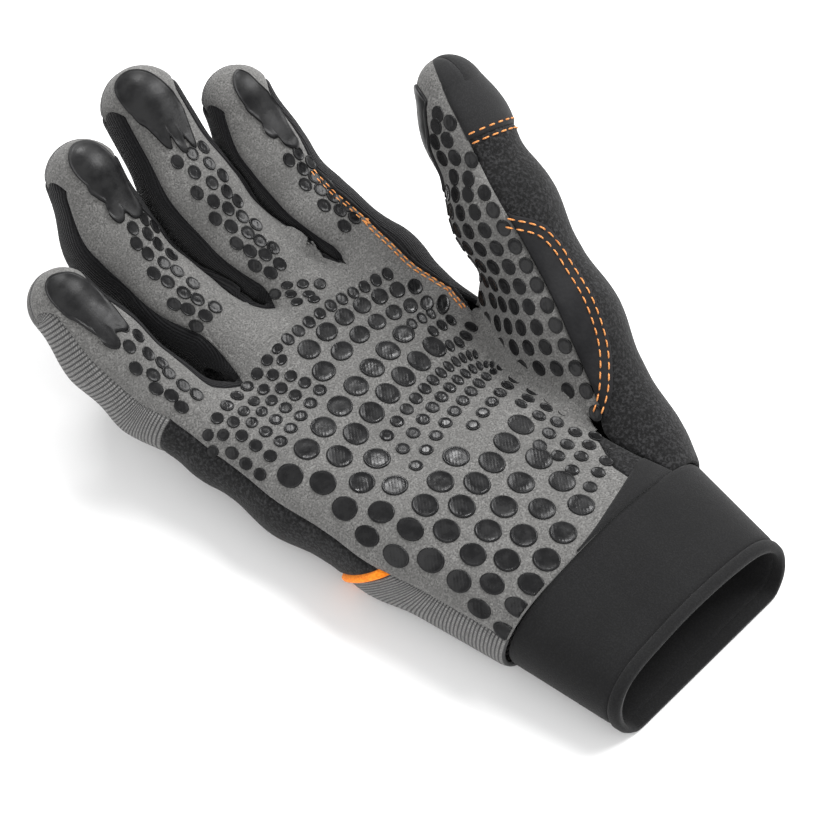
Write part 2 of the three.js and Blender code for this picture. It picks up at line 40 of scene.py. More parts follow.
# Centre lines of the fingers, the thumb, its web, the palm and the cuff, as balls (x, y, z, radius)
BONES = {
    "little": [(-40.4, 38.7, 17, 12.5), (-46.9, 56.7, 25, 11.2), (-50.1, 71.3, 36, 11),
               (-51.7, 85.5, 47, 10.2)],
    "ring": [(-14.2, 50.1, 19, 13.5), (-22.4, 74.6, 28, 12.6), (-24.7, 94.8, 42, 12.4),
             (-21.3, 107.8, 57, 11.4)],
    "middle": [(8.9, 50.5, 20, 14), (3.9, 70.7, 30, 13.2), (3.2, 89.3, 43, 13), (7.1, 112.5, 60, 12.5)],
    "index": [(32.2, 44.7, 22, 14), (27.3, 64.1, 31, 12.6), (27, 83.8, 44, 12), (29.7, 96.1, 57, 10.8)],
}
FINGERS = ["little", "ring", "middle", "index"]
THUMB = [(31.8, -71, 13.8, 14), (37.3, -53.2, 16, 14.5), (46.9, -19.1, 36, 14.5), (53.6, 12, 56, 14),
         (60.5, 33.8, 70, 11), (62.9, 42.8, 77, 9.3)]
THUMB_WEB = [(38, -42, 16, 12), (42, -14, 27, 10), (43.5, 3, 33, 7)]
PALM = [
    [(-22, -74, 14, 15), (-30, -25, 14.5, 15.5), (-35, 8, 13.8, 14.5), (-38.6, 29, 16, 13)],
    [(-6, -74, 15, 17), (-10, -30, 14, 16), (-13, 10, 13.6, 15), (-14.2, 40, 17.5, 14)],
    [(8, -74, 15, 17), (5, -30, 13.5, 15.5), (7, 10, 13.6, 15), (8.4, 40, 18, 14.5)],
    [(24, -74, 14.5, 16), (22, -30, 14, 16), (29, 10, 15, 15.5), (31.5, 36, 19, 14.5)],
]
CUFF = [
    [(-21, -68, 14, 14.8), (-18, -114, 9.5, 10.5)],
    [(-4, -68, 16, 17.3), (-1.5, -114, 10, 11.5)],
    [(14, -68, 16, 17.8), (15, -114, 10, 11.5)],
    [(31, -68, 14, 14.8), (31, -114, 9.5, 10.5)],
]
# Webs between the fingers: the two fingers, and the place of the web's edge
WEBS = [
    ("little", "ring", -27.3, 42, 17),
    ("ring", "middle", -3.7, 53, 19),
    ("middle", "index", 20.5, 47, 20),
]
SLOT = 0.6            # half width of the slot between two fingers


def smooth_min(a, b, k):
    """Smaller of two fields, rounded where they differ by less than k."""
    h = np.maximum(k - np.abs(a - b), 0) / k
    return np.minimum(a, b) - h * h * k / 4


def cone(p, a, b):
    """Distance from points to a round cone between two balls (x, y, z, radius)."""
    a = np.asarray(a, float)
    b = np.asarray(b, float)
    ab = b[:3] - a[:3]
    t = np.clip((p - a[:3]) @ ab / (ab @ ab), 0, 1)
    return np.linalg.norm(p - a[:3] - t[..., None] * ab, axis=-1) - (a[3] + (b[3] - a[3]) * t)


def chain(p, balls, k):
    """Smooth union of the cones along a chain of balls."""
    d = cone(p, balls[0], balls[1])
    for a, b in zip(balls[1:-1], balls[2:]):
        d = smooth_min(d, cone(p, a, b), k)
    return d


def bundle(p, chains, k, wide):
    """Smooth union of several chains."""
    d = chain(p, chains[0], k)
    for c in chains[1:]:
        d = smooth_min(d, chain(p, c, k), wide)
    return d


def on_floor(d, p):
    """The field cut off flat at the floor."""
    return -smooth_min(-d, p[..., 2], 1)


def edge_at(balls, y, side):
    """x of a finger's side edge at each y."""
    ys = np.array([b[1] for b in balls])
    k = np.clip(np.searchsorted(ys, y) - 1, 0, len(balls) - 2)
    b = np.array(balls)
    t = np.clip((y - ys[k]) / (ys[k + 1] - ys[k]), -0.5, 1.2)
    return b[k, 0] + (b[k + 1, 0] - b[k, 0]) * t + side * (b[k, 3] + (b[k + 1, 3] - b[k, 3]) * t)


def slots(p):
    """Distance to the narrow slots that part the fingers."""
    d = None
    for near, far, _, y, _ in WEBS:
        mid = (edge_at(BONES[near], p[..., 1], 1) + edge_at(BONES[far], p[..., 1], -1)) / 2
        s = np.maximum(np.abs(p[..., 0] - mid) - SLOT, y - p[..., 1])
        d = s if d is None else np.minimum(d, s)
    return d


def hand_skin(p):
    """Palm and four fingers, parted by their slots and flat on the floor."""
    fingers = bundle(p, [BONES[n] for n in FINGERS], 8, 1.5)
    d = smooth_min(bundle(p, PALM, 6, 16), fingers, 7)
    return on_floor(-smooth_min(-d, slots(p), 1.5), p)


def thumb_skin(p):
    """Thumb and the web that joins it to the palm."""
    return on_floor(smooth_min(chain(p, THUMB, 8), chain(p, THUMB_WEB, 8), 9), p)


def cuff_skin(p):
    """Flattened tube of the cuff."""
    return on_floor(bundle(p, CUFF, 6, 14), p)


def unit(a):
    """Vectors scaled to length one."""
    return a / np.maximum(np.linalg.norm(a, axis=-1, keepdims=True), 1e-9)


def slope(skin, p):
    """Outward normal of a skin: the field's central differences."""
    e = 0.2 * np.eye(3)
    return unit(np.stack([skin(p + v) - skin(p - v) for v in e], -1))


def cast(skin, o, d):
    """First skin point along each ray: march by the field, then halve the last step."""
    t = np.zeros(o.shape[:-1])
    last = t.copy()
    f = skin(o)
    for _ in range(60):
        go = f < -0.02
        if not go.any():
            break
        last[go] = t[go]
        t[go] += np.maximum(-f[go] * 0.6, 0.06)
        f[go] = skin(o[go] + d[go] * t[go][..., None])
    for _ in range(8):
        m = (last + t) / 2
        inside = skin(o + d * m[..., None]) < 0
        last = np.where(inside, m, last)
        t = np.where(inside, t, m)
    return o + d * ((last + t) / 2)[..., None]


def ease(t):
    """Smooth step from 0 to 1."""
    u = np.clip(t, 0, 1)
    return u * u * (3 - 2 * u)


def spline(p0, p1, p2, p3, u):
    """The point at share u of the way from p1 to p2, on the curve through four points."""
    return (p1 + (p2 - p0) * u / 2 + (p0 - 2.5 * p1 + 2 * p2 - p3 / 2) * u * u
            + (1.5 * (p1 - p2) + (p3 - p0) / 2) * u ** 3)


def along(balls, s):
    """Point on a chain's centre line at station s, a curve through the balls."""
    b = np.array(balls, float)[:, :3]
    n = len(b) - 1
    s = np.asarray(s, float)
    i = np.clip(np.floor(s).astype(int), 0, n - 1)
    return spline(b[np.maximum(i - 1, 0)], b[i], b[i + 1], b[np.minimum(i + 2, n)], (s - i)[..., None])


def heading(balls, s):
    """Direction of a chain's centre line."""
    s = np.asarray(s)
    n = len(balls) - 1
    return unit(along(balls, np.clip(s + 0.05, 0, n)) - along(balls, np.clip(s - 0.05, 0, n)))


BASE_V = 0.13         # the finger panels start at this share of a finger
FRONT_SEAM = 47       # a finger's front seams, in degrees from the middle of its palm side
BACK_SEAM = 50        # its back seams, from the middle of its back
INDEX_SEAM = 20       # the index finger's thumb-side seam near its foot
BASE_PINCH = 10       # the seams draw this much closer together at the foot of a finger
TIP_SEAM = 86         # every seam opens to this round a tip
TIP_STOP = 1.9        # the side strips stop this far round a tip
FRONT_ULNAR = -62     # the palm's edge round the little finger's side
SIDE_BACK = 130       # the edge of the back's panels on the thumb's side
WEB_MIX = 0.72        # the columns beside a web stand this share of the way to it
CROTCH_FRONT = 14     # where the palm's panel passes a web, in degrees from straight up
CROTCH_BACK = 174     # where the back's panel does
WEB_DEPTH = 7.0       # the rays round a web start this far behind its edge
LAST_CREASE = 165     # the crease under the thumb is looked for no further round than this


def turned(n, b, t, past, angle):
    """Direction at an angle from n towards b round a line along t, tipped over the line's end by `past`."""
    phi = np.radians(np.clip(past, 0, 1) * 90)[..., None]
    a = np.radians(angle)[..., None]
    return unit(n * np.cos(phi) * np.cos(a) + b * np.sin(a) + t * np.sin(phi) * np.abs(np.cos(a)))


def finger_ray(name, v, angle):
    """Ray from a finger's centre line. v runs 0 to 1 along it and 1 to 2 round the tip; angle 0 faces the
    palm side."""
    balls = BONES[name]
    v, angle = np.broadcast_arrays(np.asarray(v, float), np.asarray(angle, float))
    s = np.minimum(v, 1) * (len(balls) - 1)
    t0 = np.array([0, 1, 0.1])
    t = unit(t0 + (heading(balls, s) - t0) * ease((v - BASE_V) / 0.3)[..., None])
    b = unit(np.cross(t, [0, 0, 1.0]))
    return along(balls, s), turned(np.cross(b, t), b, t, v - 1, angle)


def seam_angle(v, shaft):
    """A finger seam's angle: drawn in at the foot, opening out round the tip."""
    v = np.asarray(v, float)
    return np.where(v <= 1, shaft - BASE_PINCH * ease(1 - v / 0.5), shaft + (TIP_SEAM - shaft) * (v - 1))


def index_seam(v):
    """The index finger's thumb-side seam, which runs further onto the palm side near its foot."""
    v = np.asarray(v, float)
    shaft = INDEX_SEAM + (FRONT_SEAM - INDEX_SEAM) * ease((v - 0.3) / 0.6)
    return np.where(v <= 1, shaft, shaft + (TIP_SEAM - shaft) * (v - 1))


def side_seam(name, v, side):
    """The front seam's angle on one side of a finger."""
    return index_seam(v) if name == "index" and side > 0 else seam_angle(v, FRONT_SEAM)


def palm_ray(f, y, angle):
    """Ray from the palm's centre surface: f 0 to 3 from the little finger's line to the index's; 0 is up."""
    f, y, angle = np.broadcast_arrays(*(np.asarray(v, float) for v in (f, y, angle)))
    i = np.clip(np.floor(f).astype(int), 0, 2)
    balls = np.array(PALM, float)
    ys = balls[:, :, 1]

    def at(row):
        k = np.zeros(y.shape, int)
        for j in (1, 2):
            k = np.where(y > ys[row, j], j, k)
        a = balls[row, k]
        b = balls[row, k + 1]
        return a + (b - a) * ((y - a[..., 1]) / (b[..., 1] - a[..., 1]))[..., None]

    o = at(i)
    o = o + (at(i + 1) - o) * (f - i)[..., None]
    a = np.radians(angle)
    o = np.stack([o[..., 0], y, o[..., 2]], -1)
    return o, np.stack([np.sin(a), np.zeros(y.shape), np.cos(a)], -1)


def thumb_cut(y):
    """Angles round the index's line where the thumb's skin cuts the hand's: fold above, crease below."""
    a = np.arange(LAST_CREASE + 1.0)
    o, d = palm_ray(3, y, a)
    f = thumb_skin(cast(hand_skin, o, d))
    inside = np.nonzero(f < 0)[0]
    if not len(inside):
        return None
    lo, hi = inside[0], min(inside[-1], len(a) - 2)
    fold = a[lo] if lo == 0 else a[lo - 1] + f[lo - 1] / (f[lo - 1] - f[lo])
    return fold, a[hi] - f[hi] / (f[hi + 1] - f[hi]) if f[hi + 1] > f[hi] else a[hi]


def find_web():
    """Furthest y at which the thumb meets the hand, and its angle."""
    y = 20.0
    while y > -40 and thumb_cut(y) is None:
        y -= 0.5
    return y, float(np.mean(thumb_cut(y)))


WEB_Y, WEB_ANGLE = find_web()


def crotch_ray(k, angle):
    """Ray round a web, from the palm side over its edge to the back."""
    _, _, x, y, z = WEBS[k]
    a = np.radians(np.asarray(angle, float))
    o = np.broadcast_to(np.array([x, y - WEB_DEPTH, z]), a.shape + (3,))
    return o, np.stack([np.zeros(a.shape), np.sin(a), np.cos(a)], -1)


def between(r, q, t):
    """Ray part way from one ray to another."""
    t = np.asarray(t, float)[..., None]
    return r[0] + (q[0] - r[0]) * t, unit(r[1] + (q[1] - r[1]) * t)


def stack(rows):
    """Rows of rays joined into one grid."""
    return np.stack([r[0] for r in rows]), np.stack([r[1] for r in rows])


def skin_grid(skin, rays):
    """The skin points of a ray grid."""
    o, d = rays
    flat = cast(skin, o.reshape(-1, 3), d.reshape(-1, 3))
    return flat.reshape(o.shape)


def spread(a, m):
    """A row of columns made m times finer, straight between its columns. Columns are the first axis."""
    a = np.asarray(a, float)
    s = np.linspace(0, len(a) - 1, (len(a) - 1) * m + 1)
    i = np.clip(np.floor(s).astype(int), 0, len(a) - 2)
    u = (s - i).reshape((-1,) + (1,) * (a.ndim - 1))
    return a[i] * (1 - u) + a[i + 1] * u


FINE = 5              # a panel's columns are made this many times finer
FRONT_COLS = 5        # columns across a finger's front or back, before that
LITTLE_COLS = 9       # across the little finger's back, which wraps its outer side too
SIDE_COLS = 4         # across a side strip
WEB_FINE = 6          # the rows round a web are made this many times finer
FLOW_V = 0.45         # past this share of the hand its rays turn to the fingers'
PIPING_V = (0.4, 0.426)  # the piping lies between these shares of the back of the hand
OBLIQUE = 9.0         # beside the piping the stations dip this far at the little finger's side
SAG = 6.0             # and rise this far half way round to it
DIP_REACH = 0.15      # both fade over this share of the hand
HEEL_Y = -47.0        # nearer the cuff than this, the palm's edge leaves the fold
HEEL_TURN = 2.3       # by so many degrees a mm
HEEL_STOP = -8        # and no further than this
HEEL_COLS = 12        # columns across the strip between that edge and the thumb
OPEN_RUN = 16         # past the thumb's web the seam takes so long to reach the index finger's own
FEET = [float(finger_ray(name, BASE_V, 0.0)[0][1]) for name in FINGERS]
FINGER_V = np.concatenate([np.linspace(BASE_V, 1, 67)[:-1], np.linspace(1, 2, 23)])
SEAM_Y = np.linspace(CUFF_SEAM_Y - 1, WEB_Y, 40)
CUTS = [thumb_cut(y) or (WEB_ANGLE, WEB_ANGLE) for y in SEAM_Y]
FOLD = np.array([c[0] for c in CUTS])
CREASE = np.array([c[1] for c in CUTS])


def open_seam(y):
    """Seam angle past the thumb's web, easing into the index finger's own seam."""
    return INDEX_SEAM + (WEB_ANGLE - INDEX_SEAM) * (1 - ease((y - WEB_Y) / OPEN_RUN))


def fold_line(y):
    """Where the palm's skin meets the thumb's."""
    return np.where(y > WEB_Y, open_seam(y), np.interp(y, SEAM_Y, FOLD) - 1)


def palm_seam(y):
    """The palm panel's edge on the thumb side, which leaves the fold near the cuff."""
    return np.maximum(fold_line(y) - HEEL_TURN * np.maximum(HEEL_Y - y, 0), HEEL_STOP)


def side_front(y):
    """The index side panel's upper edge."""
    return np.where(y > WEB_Y, open_seam(y), np.interp(y, SEAM_Y, CREASE) + 1)


def top_row(edge, cols, web, wrap, turn):
    """Columns over the feet of the fingers with the webs between them: place across the hand, share of the
    turn round each of its sides, and rays."""
    ulnar, radial, o, d = [], [], [], []
    for i, name in enumerate(FINGERS):
        u = np.arange(cols[i]) / (cols[i] - 1)
        r = edge(name, BASE_V, u)
        ulnar += list(1 - np.clip(u / wrap, 0, 1) if i == 0 else 0 * u)
        radial += list(np.clip((u - turn) / (1 - turn), 0, 1) if i == 3 else 0 * u)
        o += list(r[0])
        d += list(r[1])
        if i < 3:
            c = crotch_ray(i, web)
            a = (r[0][-1], r[1][-1])
            q = edge(FINGERS[i + 1], BASE_V, np.zeros(1))
            b = (q[0][0], q[1][0])
            for ray in (between(a, c, WEB_MIX), c, between(c, b, 1 - WEB_MIX)):
                o.append(ray[0])
                d.append(ray[1])
            ulnar += [0, 0, 0]
            radial += [0, 0, 0]
    place = np.clip((np.arange(len(o)) - cols[0] + 3) / 8, 0, 3)
    return [spread(a, FINE) for a in (place, ulnar, radial, o, d)]


def foot_y(f):
    """y where the fingers start, smooth across the hand."""
    i = np.clip(np.floor(f).astype(int), 0, 2)
    feet = np.array(FEET)
    return feet[i] + (feet[i + 1] - feet[i]) * ease(f - i)


def body_grid(top, stations, angle):
    """Rays of a hand panel at stations 0, the cuff seam, to 1, the fingers, whose own rays take over near 1.
    The stations dip towards the cuff beside the piping on the little finger's side."""
    f, ulnar, radial, o, d = top
    rows = []
    for v in stations:
        y = CUFF_SEAM_Y + (foot_y(f) - CUFF_SEAM_Y) * v
        dip = OBLIQUE * ulnar ** 3 - SAG * np.sin(math.pi * ulnar) ** 2
        y = y - dip * math.exp(-((v - PIPING_V[0]) / DIP_REACH) ** 2)
        r = palm_ray(f, y, angle(y, ulnar, radial))
        part = float(ease((v - FLOW_V) / (1 - FLOW_V)))
        rows.append(between(r, (o, unit(d)), np.full(len(f), part)) if part > 0 else r)
    return stack(rows)


def front_ray(name, v, u):
    """Palm side of a finger: u 0 to 1 across it."""
    lo = -seam_angle(v, FRONT_SEAM)
    hi = side_seam(name, v, 1)
    return finger_ray(name, v, lo + (hi - lo) * u)


def back_ray(name, v, u):
    """Back of a finger. The little finger's back also wraps its outer side."""
    lo = 180 - seam_angle(v, BACK_SEAM)
    hi = 360 - seam_angle(v, FRONT_SEAM) if name == "little" else 180 + seam_angle(v, BACK_SEAM)
    return finger_ray(name, v, hi + (lo - hi) * u)


def finger_grid(ray, name, cols):
    """Rays of one finger panel."""
    u = np.arange(cols) / (cols - 1)
    o, d = stack([ray(name, v, u) for v in FINGER_V])
    return np.stack([spread(r, FINE) for r in o]), unit(np.stack([spread(r, FINE) for r in d]))


def side_ray(name, side, v):
    """One row across a finger's side strip, from the palm side's seam to the back's."""
    a = side_seam(name, v, side)
    b = 180 - seam_angle(v, BACK_SEAM)
    return finger_ray(name, v, side * (a + (b - a) * np.arange(SIDE_COLS) / (SIDE_COLS - 1)))


def across(rays):
    """A row of rays with its columns made finer."""
    return spread(rays[0], FINE), unit(spread(rays[1], FINE))


def fourchette_grid(i):
    """Rays of the strip down one finger, round the web and up the next."""
    near, far = FINGERS[i], FINGERS[i + 1]
    v = FINGER_V[FINGER_V < TIP_STOP]
    angle = CROTCH_FRONT + (CROTCH_BACK - CROTCH_FRONT) * np.arange(SIDE_COLS) / (SIDE_COLS - 1)
    mid = crotch_ray(i, angle)
    down = side_ray(near, 1, BASE_V)
    up = side_ray(far, -1, BASE_V)
    t = np.full(SIDE_COLS, WEB_MIX)
    web = stack([down, between(down, mid, t), mid, between(mid, up, 1 - t), up])
    web = (spread(web[0], WEB_FINE), unit(spread(web[1], WEB_FINE)))
    rows = [across(side_ray(near, 1, s)) for s in v[::-1][:-1]]
    rows += [across((o, d)) for o, d in zip(*web)]
    rows += [across(side_ray(far, -1, s)) for s in v[1:]]
    return stack(rows)


def index_side_grid():
    """Rays of the side strip of the index finger, which goes on below the thumb's web to the piping."""
    v = FINGER_V[FINGER_V < TIP_STOP]
    rows = [across(side_ray("index", 1, s)) for s in v[::-1]]
    first = side_ray("index", 1, BASE_V)
    for s in np.linspace(1, PIPING_V[1], 70)[1:]:
        y = CUFF_SEAM_Y + (FEET[3] - CUFF_SEAM_Y) * s
        lo = float(side_front(np.array(y)))
        body = palm_ray(np.full(SIDE_COLS, 3.0), np.full(SIDE_COLS, y),
                        lo + (SIDE_BACK - lo) * np.arange(SIDE_COLS) / (SIDE_COLS - 1))
        part = float(ease((s - FLOW_V) / (1 - FLOW_V)))
        rows.append(across(between(body, first, np.full(SIDE_COLS, part))))
    return stack(rows)


THUMB_END = len(THUMB) - 1
THUMB_FACE = 78       # the middle of the thumb's palm side, in degrees from the top towards the palm
THUMB_SEAM = 47       # its border seam, from that middle
BOW = 9               # the border seam bows outwards by this half way along
CUT_DEG = 1.2         # the thumb's panels keep so many degrees from the hand's skin
FOOT_PINCH = 10       # the back panel draws in by this at the cuff


def thumb_ray(s, angle):
    """Ray from the thumb's centre line at station s, its angle measured from the middle of its palm side."""
    s, angle = np.broadcast_arrays(np.asarray(s, float), np.asarray(angle, float))
    at = np.minimum(s, THUMB_END)
    t0 = np.array([0, 1.0, 0])
    t = unit(t0 + (heading(THUMB, at) - t0) * ease(s / 1.1)[..., None])
    up = unit(np.array([0, 0, 1.0]) - t * t[..., 2:])
    left = np.cross(up, t)
    c = math.radians(THUMB_FACE)
    n = up * math.cos(c) + left * math.sin(c)
    b = up * math.sin(c) - left * math.cos(c)
    return along(THUMB, at), turned(n, b, t, s - THUMB_END, angle)


def hand_cut(s):
    """Angles round the thumb where the hand's skin cuts it: fold in front, crease behind."""
    def first(angles):
        o, d = thumb_ray(s, angles)
        f = hand_skin(cast(thumb_skin, o, d))
        hit = np.nonzero(f < 0)[0]
        if not len(hit):
            return None
        k = hit[0]
        if k == 0:
            return angles[0]
        return angles[k - 1] + (angles[k] - angles[k - 1]) * f[k - 1] / (f[k - 1] - f[k])
    return first(np.arange(78.0, -123, -2)), first(np.arange(98.0, 309, 2))


def tip_open(s, a):
    """An angle that opens round the tip."""
    return a if s <= THUMB_END else a + (TIP_SEAM - a) * (s - THUMB_END)


def border(s):
    """Angle of the thumb's outer border seam."""
    return tip_open(s, THUMB_SEAM + BOW * math.sin(math.pi * min(max((s - 1.2) / 3.4, 0), 1)))


def thumb_edges():
    """Stations along the thumb with its border, front edge and back edge."""
    stations = np.concatenate([np.arange(0, 3.0, 0.1), np.arange(3.0, 6.01, 0.15)])
    cuts = [hand_cut(s) for s in stations]
    held = [None not in c for c in cuts]
    last = np.nonzero(held & (stations < 4))[0][-1]
    web = stations[last]
    meet = (sum(cuts[last]) - 360) / 2
    rows = []
    for s, cut, joined in zip(stations, cuts, held):
        if s <= web and joined:
            pinch = FOOT_PINCH * float(ease(1 - s / 1.2))
            rows.append((s, border(s), cut[0] + CUT_DEG, cut[1] - CUT_DEG - pinch))
            continue
        low = meet + (-THUMB_SEAM - meet) * float(ease((s - web) / 0.7))
        low = -tip_open(s, THUMB_SEAM) if s > THUMB_END else low
        rows.append((s, border(s), low, low + 360))
    return np.array(rows)


THUMB_ROWS = thumb_edges()
THUMB_WEB_S = THUMB_ROWS[THUMB_ROWS[:, 3] < THUMB_ROWS[:, 2] + 359.9][-1, 0]
FRONT_FROM = 1.4      # the thumb's palm side starts at this station
VALLEY = 6.0          # reach of the rounded valley between palm and thumb to each side
WEB_SPAN = 0.22       # it spans the web this far past the last station where the two touch


def thumb_edge(s, column):
    """One of the thumb's edges at any station."""
    return np.interp(s, THUMB_ROWS[:, 0], THUMB_ROWS[:, column])


def thumb_fan(stations, lo, hi, cols):
    """Rays fanned between two angles at each station."""
    u = np.arange(cols) / (cols - 1)
    return stack([thumb_ray(s, a + (b - a) * u) for s, a, b in zip(stations, lo, hi)])


def thumb_front_grid():
    """Rays of the thumb's palm side."""
    s = np.concatenate([np.linspace(FRONT_FROM, 5, 100)[:-1], np.linspace(5, 6, 22)])
    return thumb_fan(s, thumb_edge(s, 2), thumb_edge(s, 1), 34)


KNUCKLE = 3.76        # station of the seam over the thumb's knuckle
TIP_S = np.linspace(5, 6, 22)
# The tip's back wraps over the palm side: station, angle of its edge
TIP_WRAP = [(5.0, 47), (5.2, 45), (5.46, 37), (5.65, 26), (5.8, 12), (5.92, 0), (6.0, -8)]


def thumb_back_grid(s):
    """Rays of the thumb's back at stations from the cuff to the tip."""
    top = thumb_edge(s, 1)
    low = thumb_edge(s, 2)
    start = low + (top - low) * np.clip((s - FRONT_FROM + 0.3) / 0.3, 0, 1)
    return thumb_fan(s, start, thumb_edge(s, 3), 64)


CUFF_COLS = 144
CUFF_AXIS = (6, 11)   # x and z of the cuff's middle
CUFF_SPREAD = 22      # its rays start up to this far to each side of that
HEM_T = 1 - 4.0 / 38  # the hem is the last 4 mm of the cuff's 38
CUFF_GAP = 0.3        # between the cuff and the hand
LIP = 8.5             # the cuff's edge laps this far over the palm beside the thumb
LIP_FROM = 0.9        # it starts at this line of the palm
LIP_TURN = 0.7        # past this share of its run it turns down round the palm's side


def cuff_grid(stations):
    """Points of rings round the cuff, from its seam, 0, to its sloping rim, 1."""
    a = np.radians(360 * (np.arange(CUFF_COLS + 1) % CUFF_COLS) / CUFF_COLS)
    d = np.stack([np.sin(a), 0 * a, np.cos(a)], -1)

    def ring(y):
        o = np.stack([CUFF_AXIS[0] + CUFF_SPREAD * np.sin(a), y + 0 * a, CUFF_AXIS[1] + 0 * a], -1)
        return cast(cuff_skin, o, d)

    end = CUFF_END_Y + RIM_SLOPE * ring(CUFF_END_Y + 1)[:, 2]
    start = CUFF_SEAM_Y - CUFF_GAP
    return np.stack([ring(start + (end - start) * t) for t in stations])


def heel_grid():
    """Rays of the strip between the palm's edge and the thumb, next to the cuff."""
    rows = []
    for y in np.linspace(CUFF_SEAM_Y, HEEL_Y - 0.3, 30):
        lo = float(palm_seam(y))
        a = lo + (float(fold_line(y)) + 2 - lo) * np.arange(HEEL_COLS) / (HEEL_COLS - 1)
        rows.append(palm_ray(3, y, a))
    return stack(rows)


def lip_grid():
    """Rays of the cuff's curved edge, which laps over the palm beside the thumb."""
    c = np.linspace(0, 1, 50)
    f = LIP_FROM + (3 - LIP_FROM) * np.minimum(c / LIP_TURN, 1)
    top = CUFF_SEAM_Y + LIP * np.minimum(c / 0.8, 1) ** 1.5
    turn = np.maximum(c / LIP_TURN - 1, 0) * LIP_TURN / (1 - LIP_TURN)
    rows = []
    for t in np.linspace(0, 1, 14):
        y = CUFF_SEAM_Y - 0.2 + (top - CUFF_SEAM_Y + 0.4) * t
        rows.append(palm_ray(f, y, (fold_line(y) + 2) * turn))
    return stack(rows)


def curve(points, per, closed=False):
    """A smooth line through charted points, `per` steps from each to the next."""
    q = np.array(points, float)
    n = len(q)
    s = np.arange(n * per if closed else (n - 1) * per + 1) / per
    i = np.minimum(np.floor(s).astype(int), n - 1 if closed else n - 2)
    near = [(i + k) % n if closed else np.clip(i + k, 0, n - 1) for k in (-1, 0, 1, 2)]
    return spline(*(q[k] for k in near), (s - i)[:, None])


def valley():
    """Grid and normals of the rounded valley between palm and thumb: at each station a curve that leaves the
    palm's skin along it and lands on the thumb's. Past the last station where they touch it spans the web."""
    s = np.linspace(FRONT_FROM - 0.12, THUMB_WEB_S + WEB_SPAN, 90)
    f = cast(thumb_skin, *thumb_ray(s, thumb_edge(s, 2) - 1.2))
    h = cast(hand_skin, *palm_ray(np.full(len(s), 3.0), f[:, 1], fold_line(f[:, 1])))
    h = f + (h - f) * ease((s - THUMB_WEB_S + 0.15) / 0.15)[:, None]
    c = (h + f) / 2
    ahead = unit(np.gradient(c, axis=0))
    nh, nt = slope(hand_skin, h), slope(thumb_skin, f)
    over, up = unit(np.cross(nh, ahead)), unit(np.cross(nt, ahead))
    over = over * np.sign((over * nt).sum(-1, keepdims=True))
    up = up * np.sign((up * nh).sum(-1, keepdims=True))
    reach = VALLEY * np.minimum(ease((s - s[0]) / 0.25), ease((s[-1] - s) / 0.3))[:, None] + 0.8
    a = drop(hand_skin, h + over * reach, nh)
    b = drop(thumb_skin, f + up * reach, nt)
    na, nb = slope(hand_skin, a), slope(thumb_skin, b)
    t = np.linspace(0, 1, 17)[None, :, None]
    p = a[:, None] * (1 - t) ** 2 + c[:, None] * 2 * t * (1 - t) + b[:, None] * t * t
    n = unit(na[:, None] * (1 - t) + nb[:, None] * t)
    return p + n * (0.1 - 0.5 * np.abs(2 * t - 1) ** 4), n


def grid_quads(k):
    """Quads of a grid of vertex numbers."""
    return np.stack([k[:-1, :-1], k[:-1, 1:], k[1:, 1:], k[1:, :-1]], -1).reshape(-1, 4)


def ring_quads(rings, sides):
    """Quads between rings of `sides` vertices that follow one another."""
    k = np.arange(sides)
    one = np.stack([k, (k + 1) % sides, (k + 1) % sides + sides, k + sides], 1)
    return np.concatenate([one + j * sides for j in range(rings - 1)])


def cap_fan(rings, sides):
    """Triangles from the last ring to the one vertex that follows it."""
    k = np.arange(sides) + (rings - 1) * sides
    return np.stack([k, np.roll(k, -1), np.full(sides, rings * sides)], 1)


def weld(grids):
    """One vertex list for grids that share edges, with each grid's quads and its corners' places in mm."""
    verts = np.concatenate([g.reshape(-1, 3) for g in grids])
    quads = []
    start = 0
    for g in grids:
        quads.append(grid_quads(start + np.arange(g.shape[0] * g.shape[1]).reshape(g.shape[:2])))
        start += g.shape[0] * g.shape[1]
    quads = np.concatenate(quads)
    place = np.round(verts * 200).astype(np.int64)
    _, first, back = np.unique(place, axis=0, return_index=True, return_inverse=True)
    return verts[first], back.reshape(-1)[quads], quads


def measured(grid):
    """Places on a grid in mm: across from its middle column, and along that column."""
    mid = grid.shape[1] // 2
    step = np.linalg.norm(np.diff(grid, axis=1), axis=-1)
    aside = np.concatenate([np.zeros((grid.shape[0], 1)), np.cumsum(step, axis=1)], 1)
    aside = aside - aside[:, mid:mid + 1]
    run = np.concatenate([[0], np.cumsum(np.linalg.norm(np.diff(grid[:, mid], axis=0), axis=-1))])
    return np.stack([aside, np.broadcast_to(run[:, None], aside.shape)], -1).reshape(-1, 2)


def to_rim(points, rim):
    """Distance from each point to the nearest rim point."""
    out = np.empty(len(points))
    for k in range(0, len(points), 2000):
        part = points[k:k + 2000]
        out[k:k + 2000] = np.sqrt(((part[:, None] - rim[None]) ** 2).sum(-1).min(1))
    return out


def link(name, verts, faces, uv=None):
    """A smooth mesh object from millimetre vertices, with a UV map in millimetres where one is given."""
    mesh = bpy.data.meshes.new(name)
    mesh.from_pydata((np.asarray(verts) * MM).tolist(), [], [list(f) for f in faces])
    if uv is not None:
        layer = mesh.uv_layers.new(name="mm")
        layer.data.foreach_set("uv", np.asarray(uv, np.float32).ravel())
    mesh.polygons.foreach_set("use_smooth", [True] * len(mesh.polygons))
    mesh.update()
    obj = bpy.data.objects.new(name, mesh)
    bpy.context.scene.collection.objects.link(obj)
    return obj


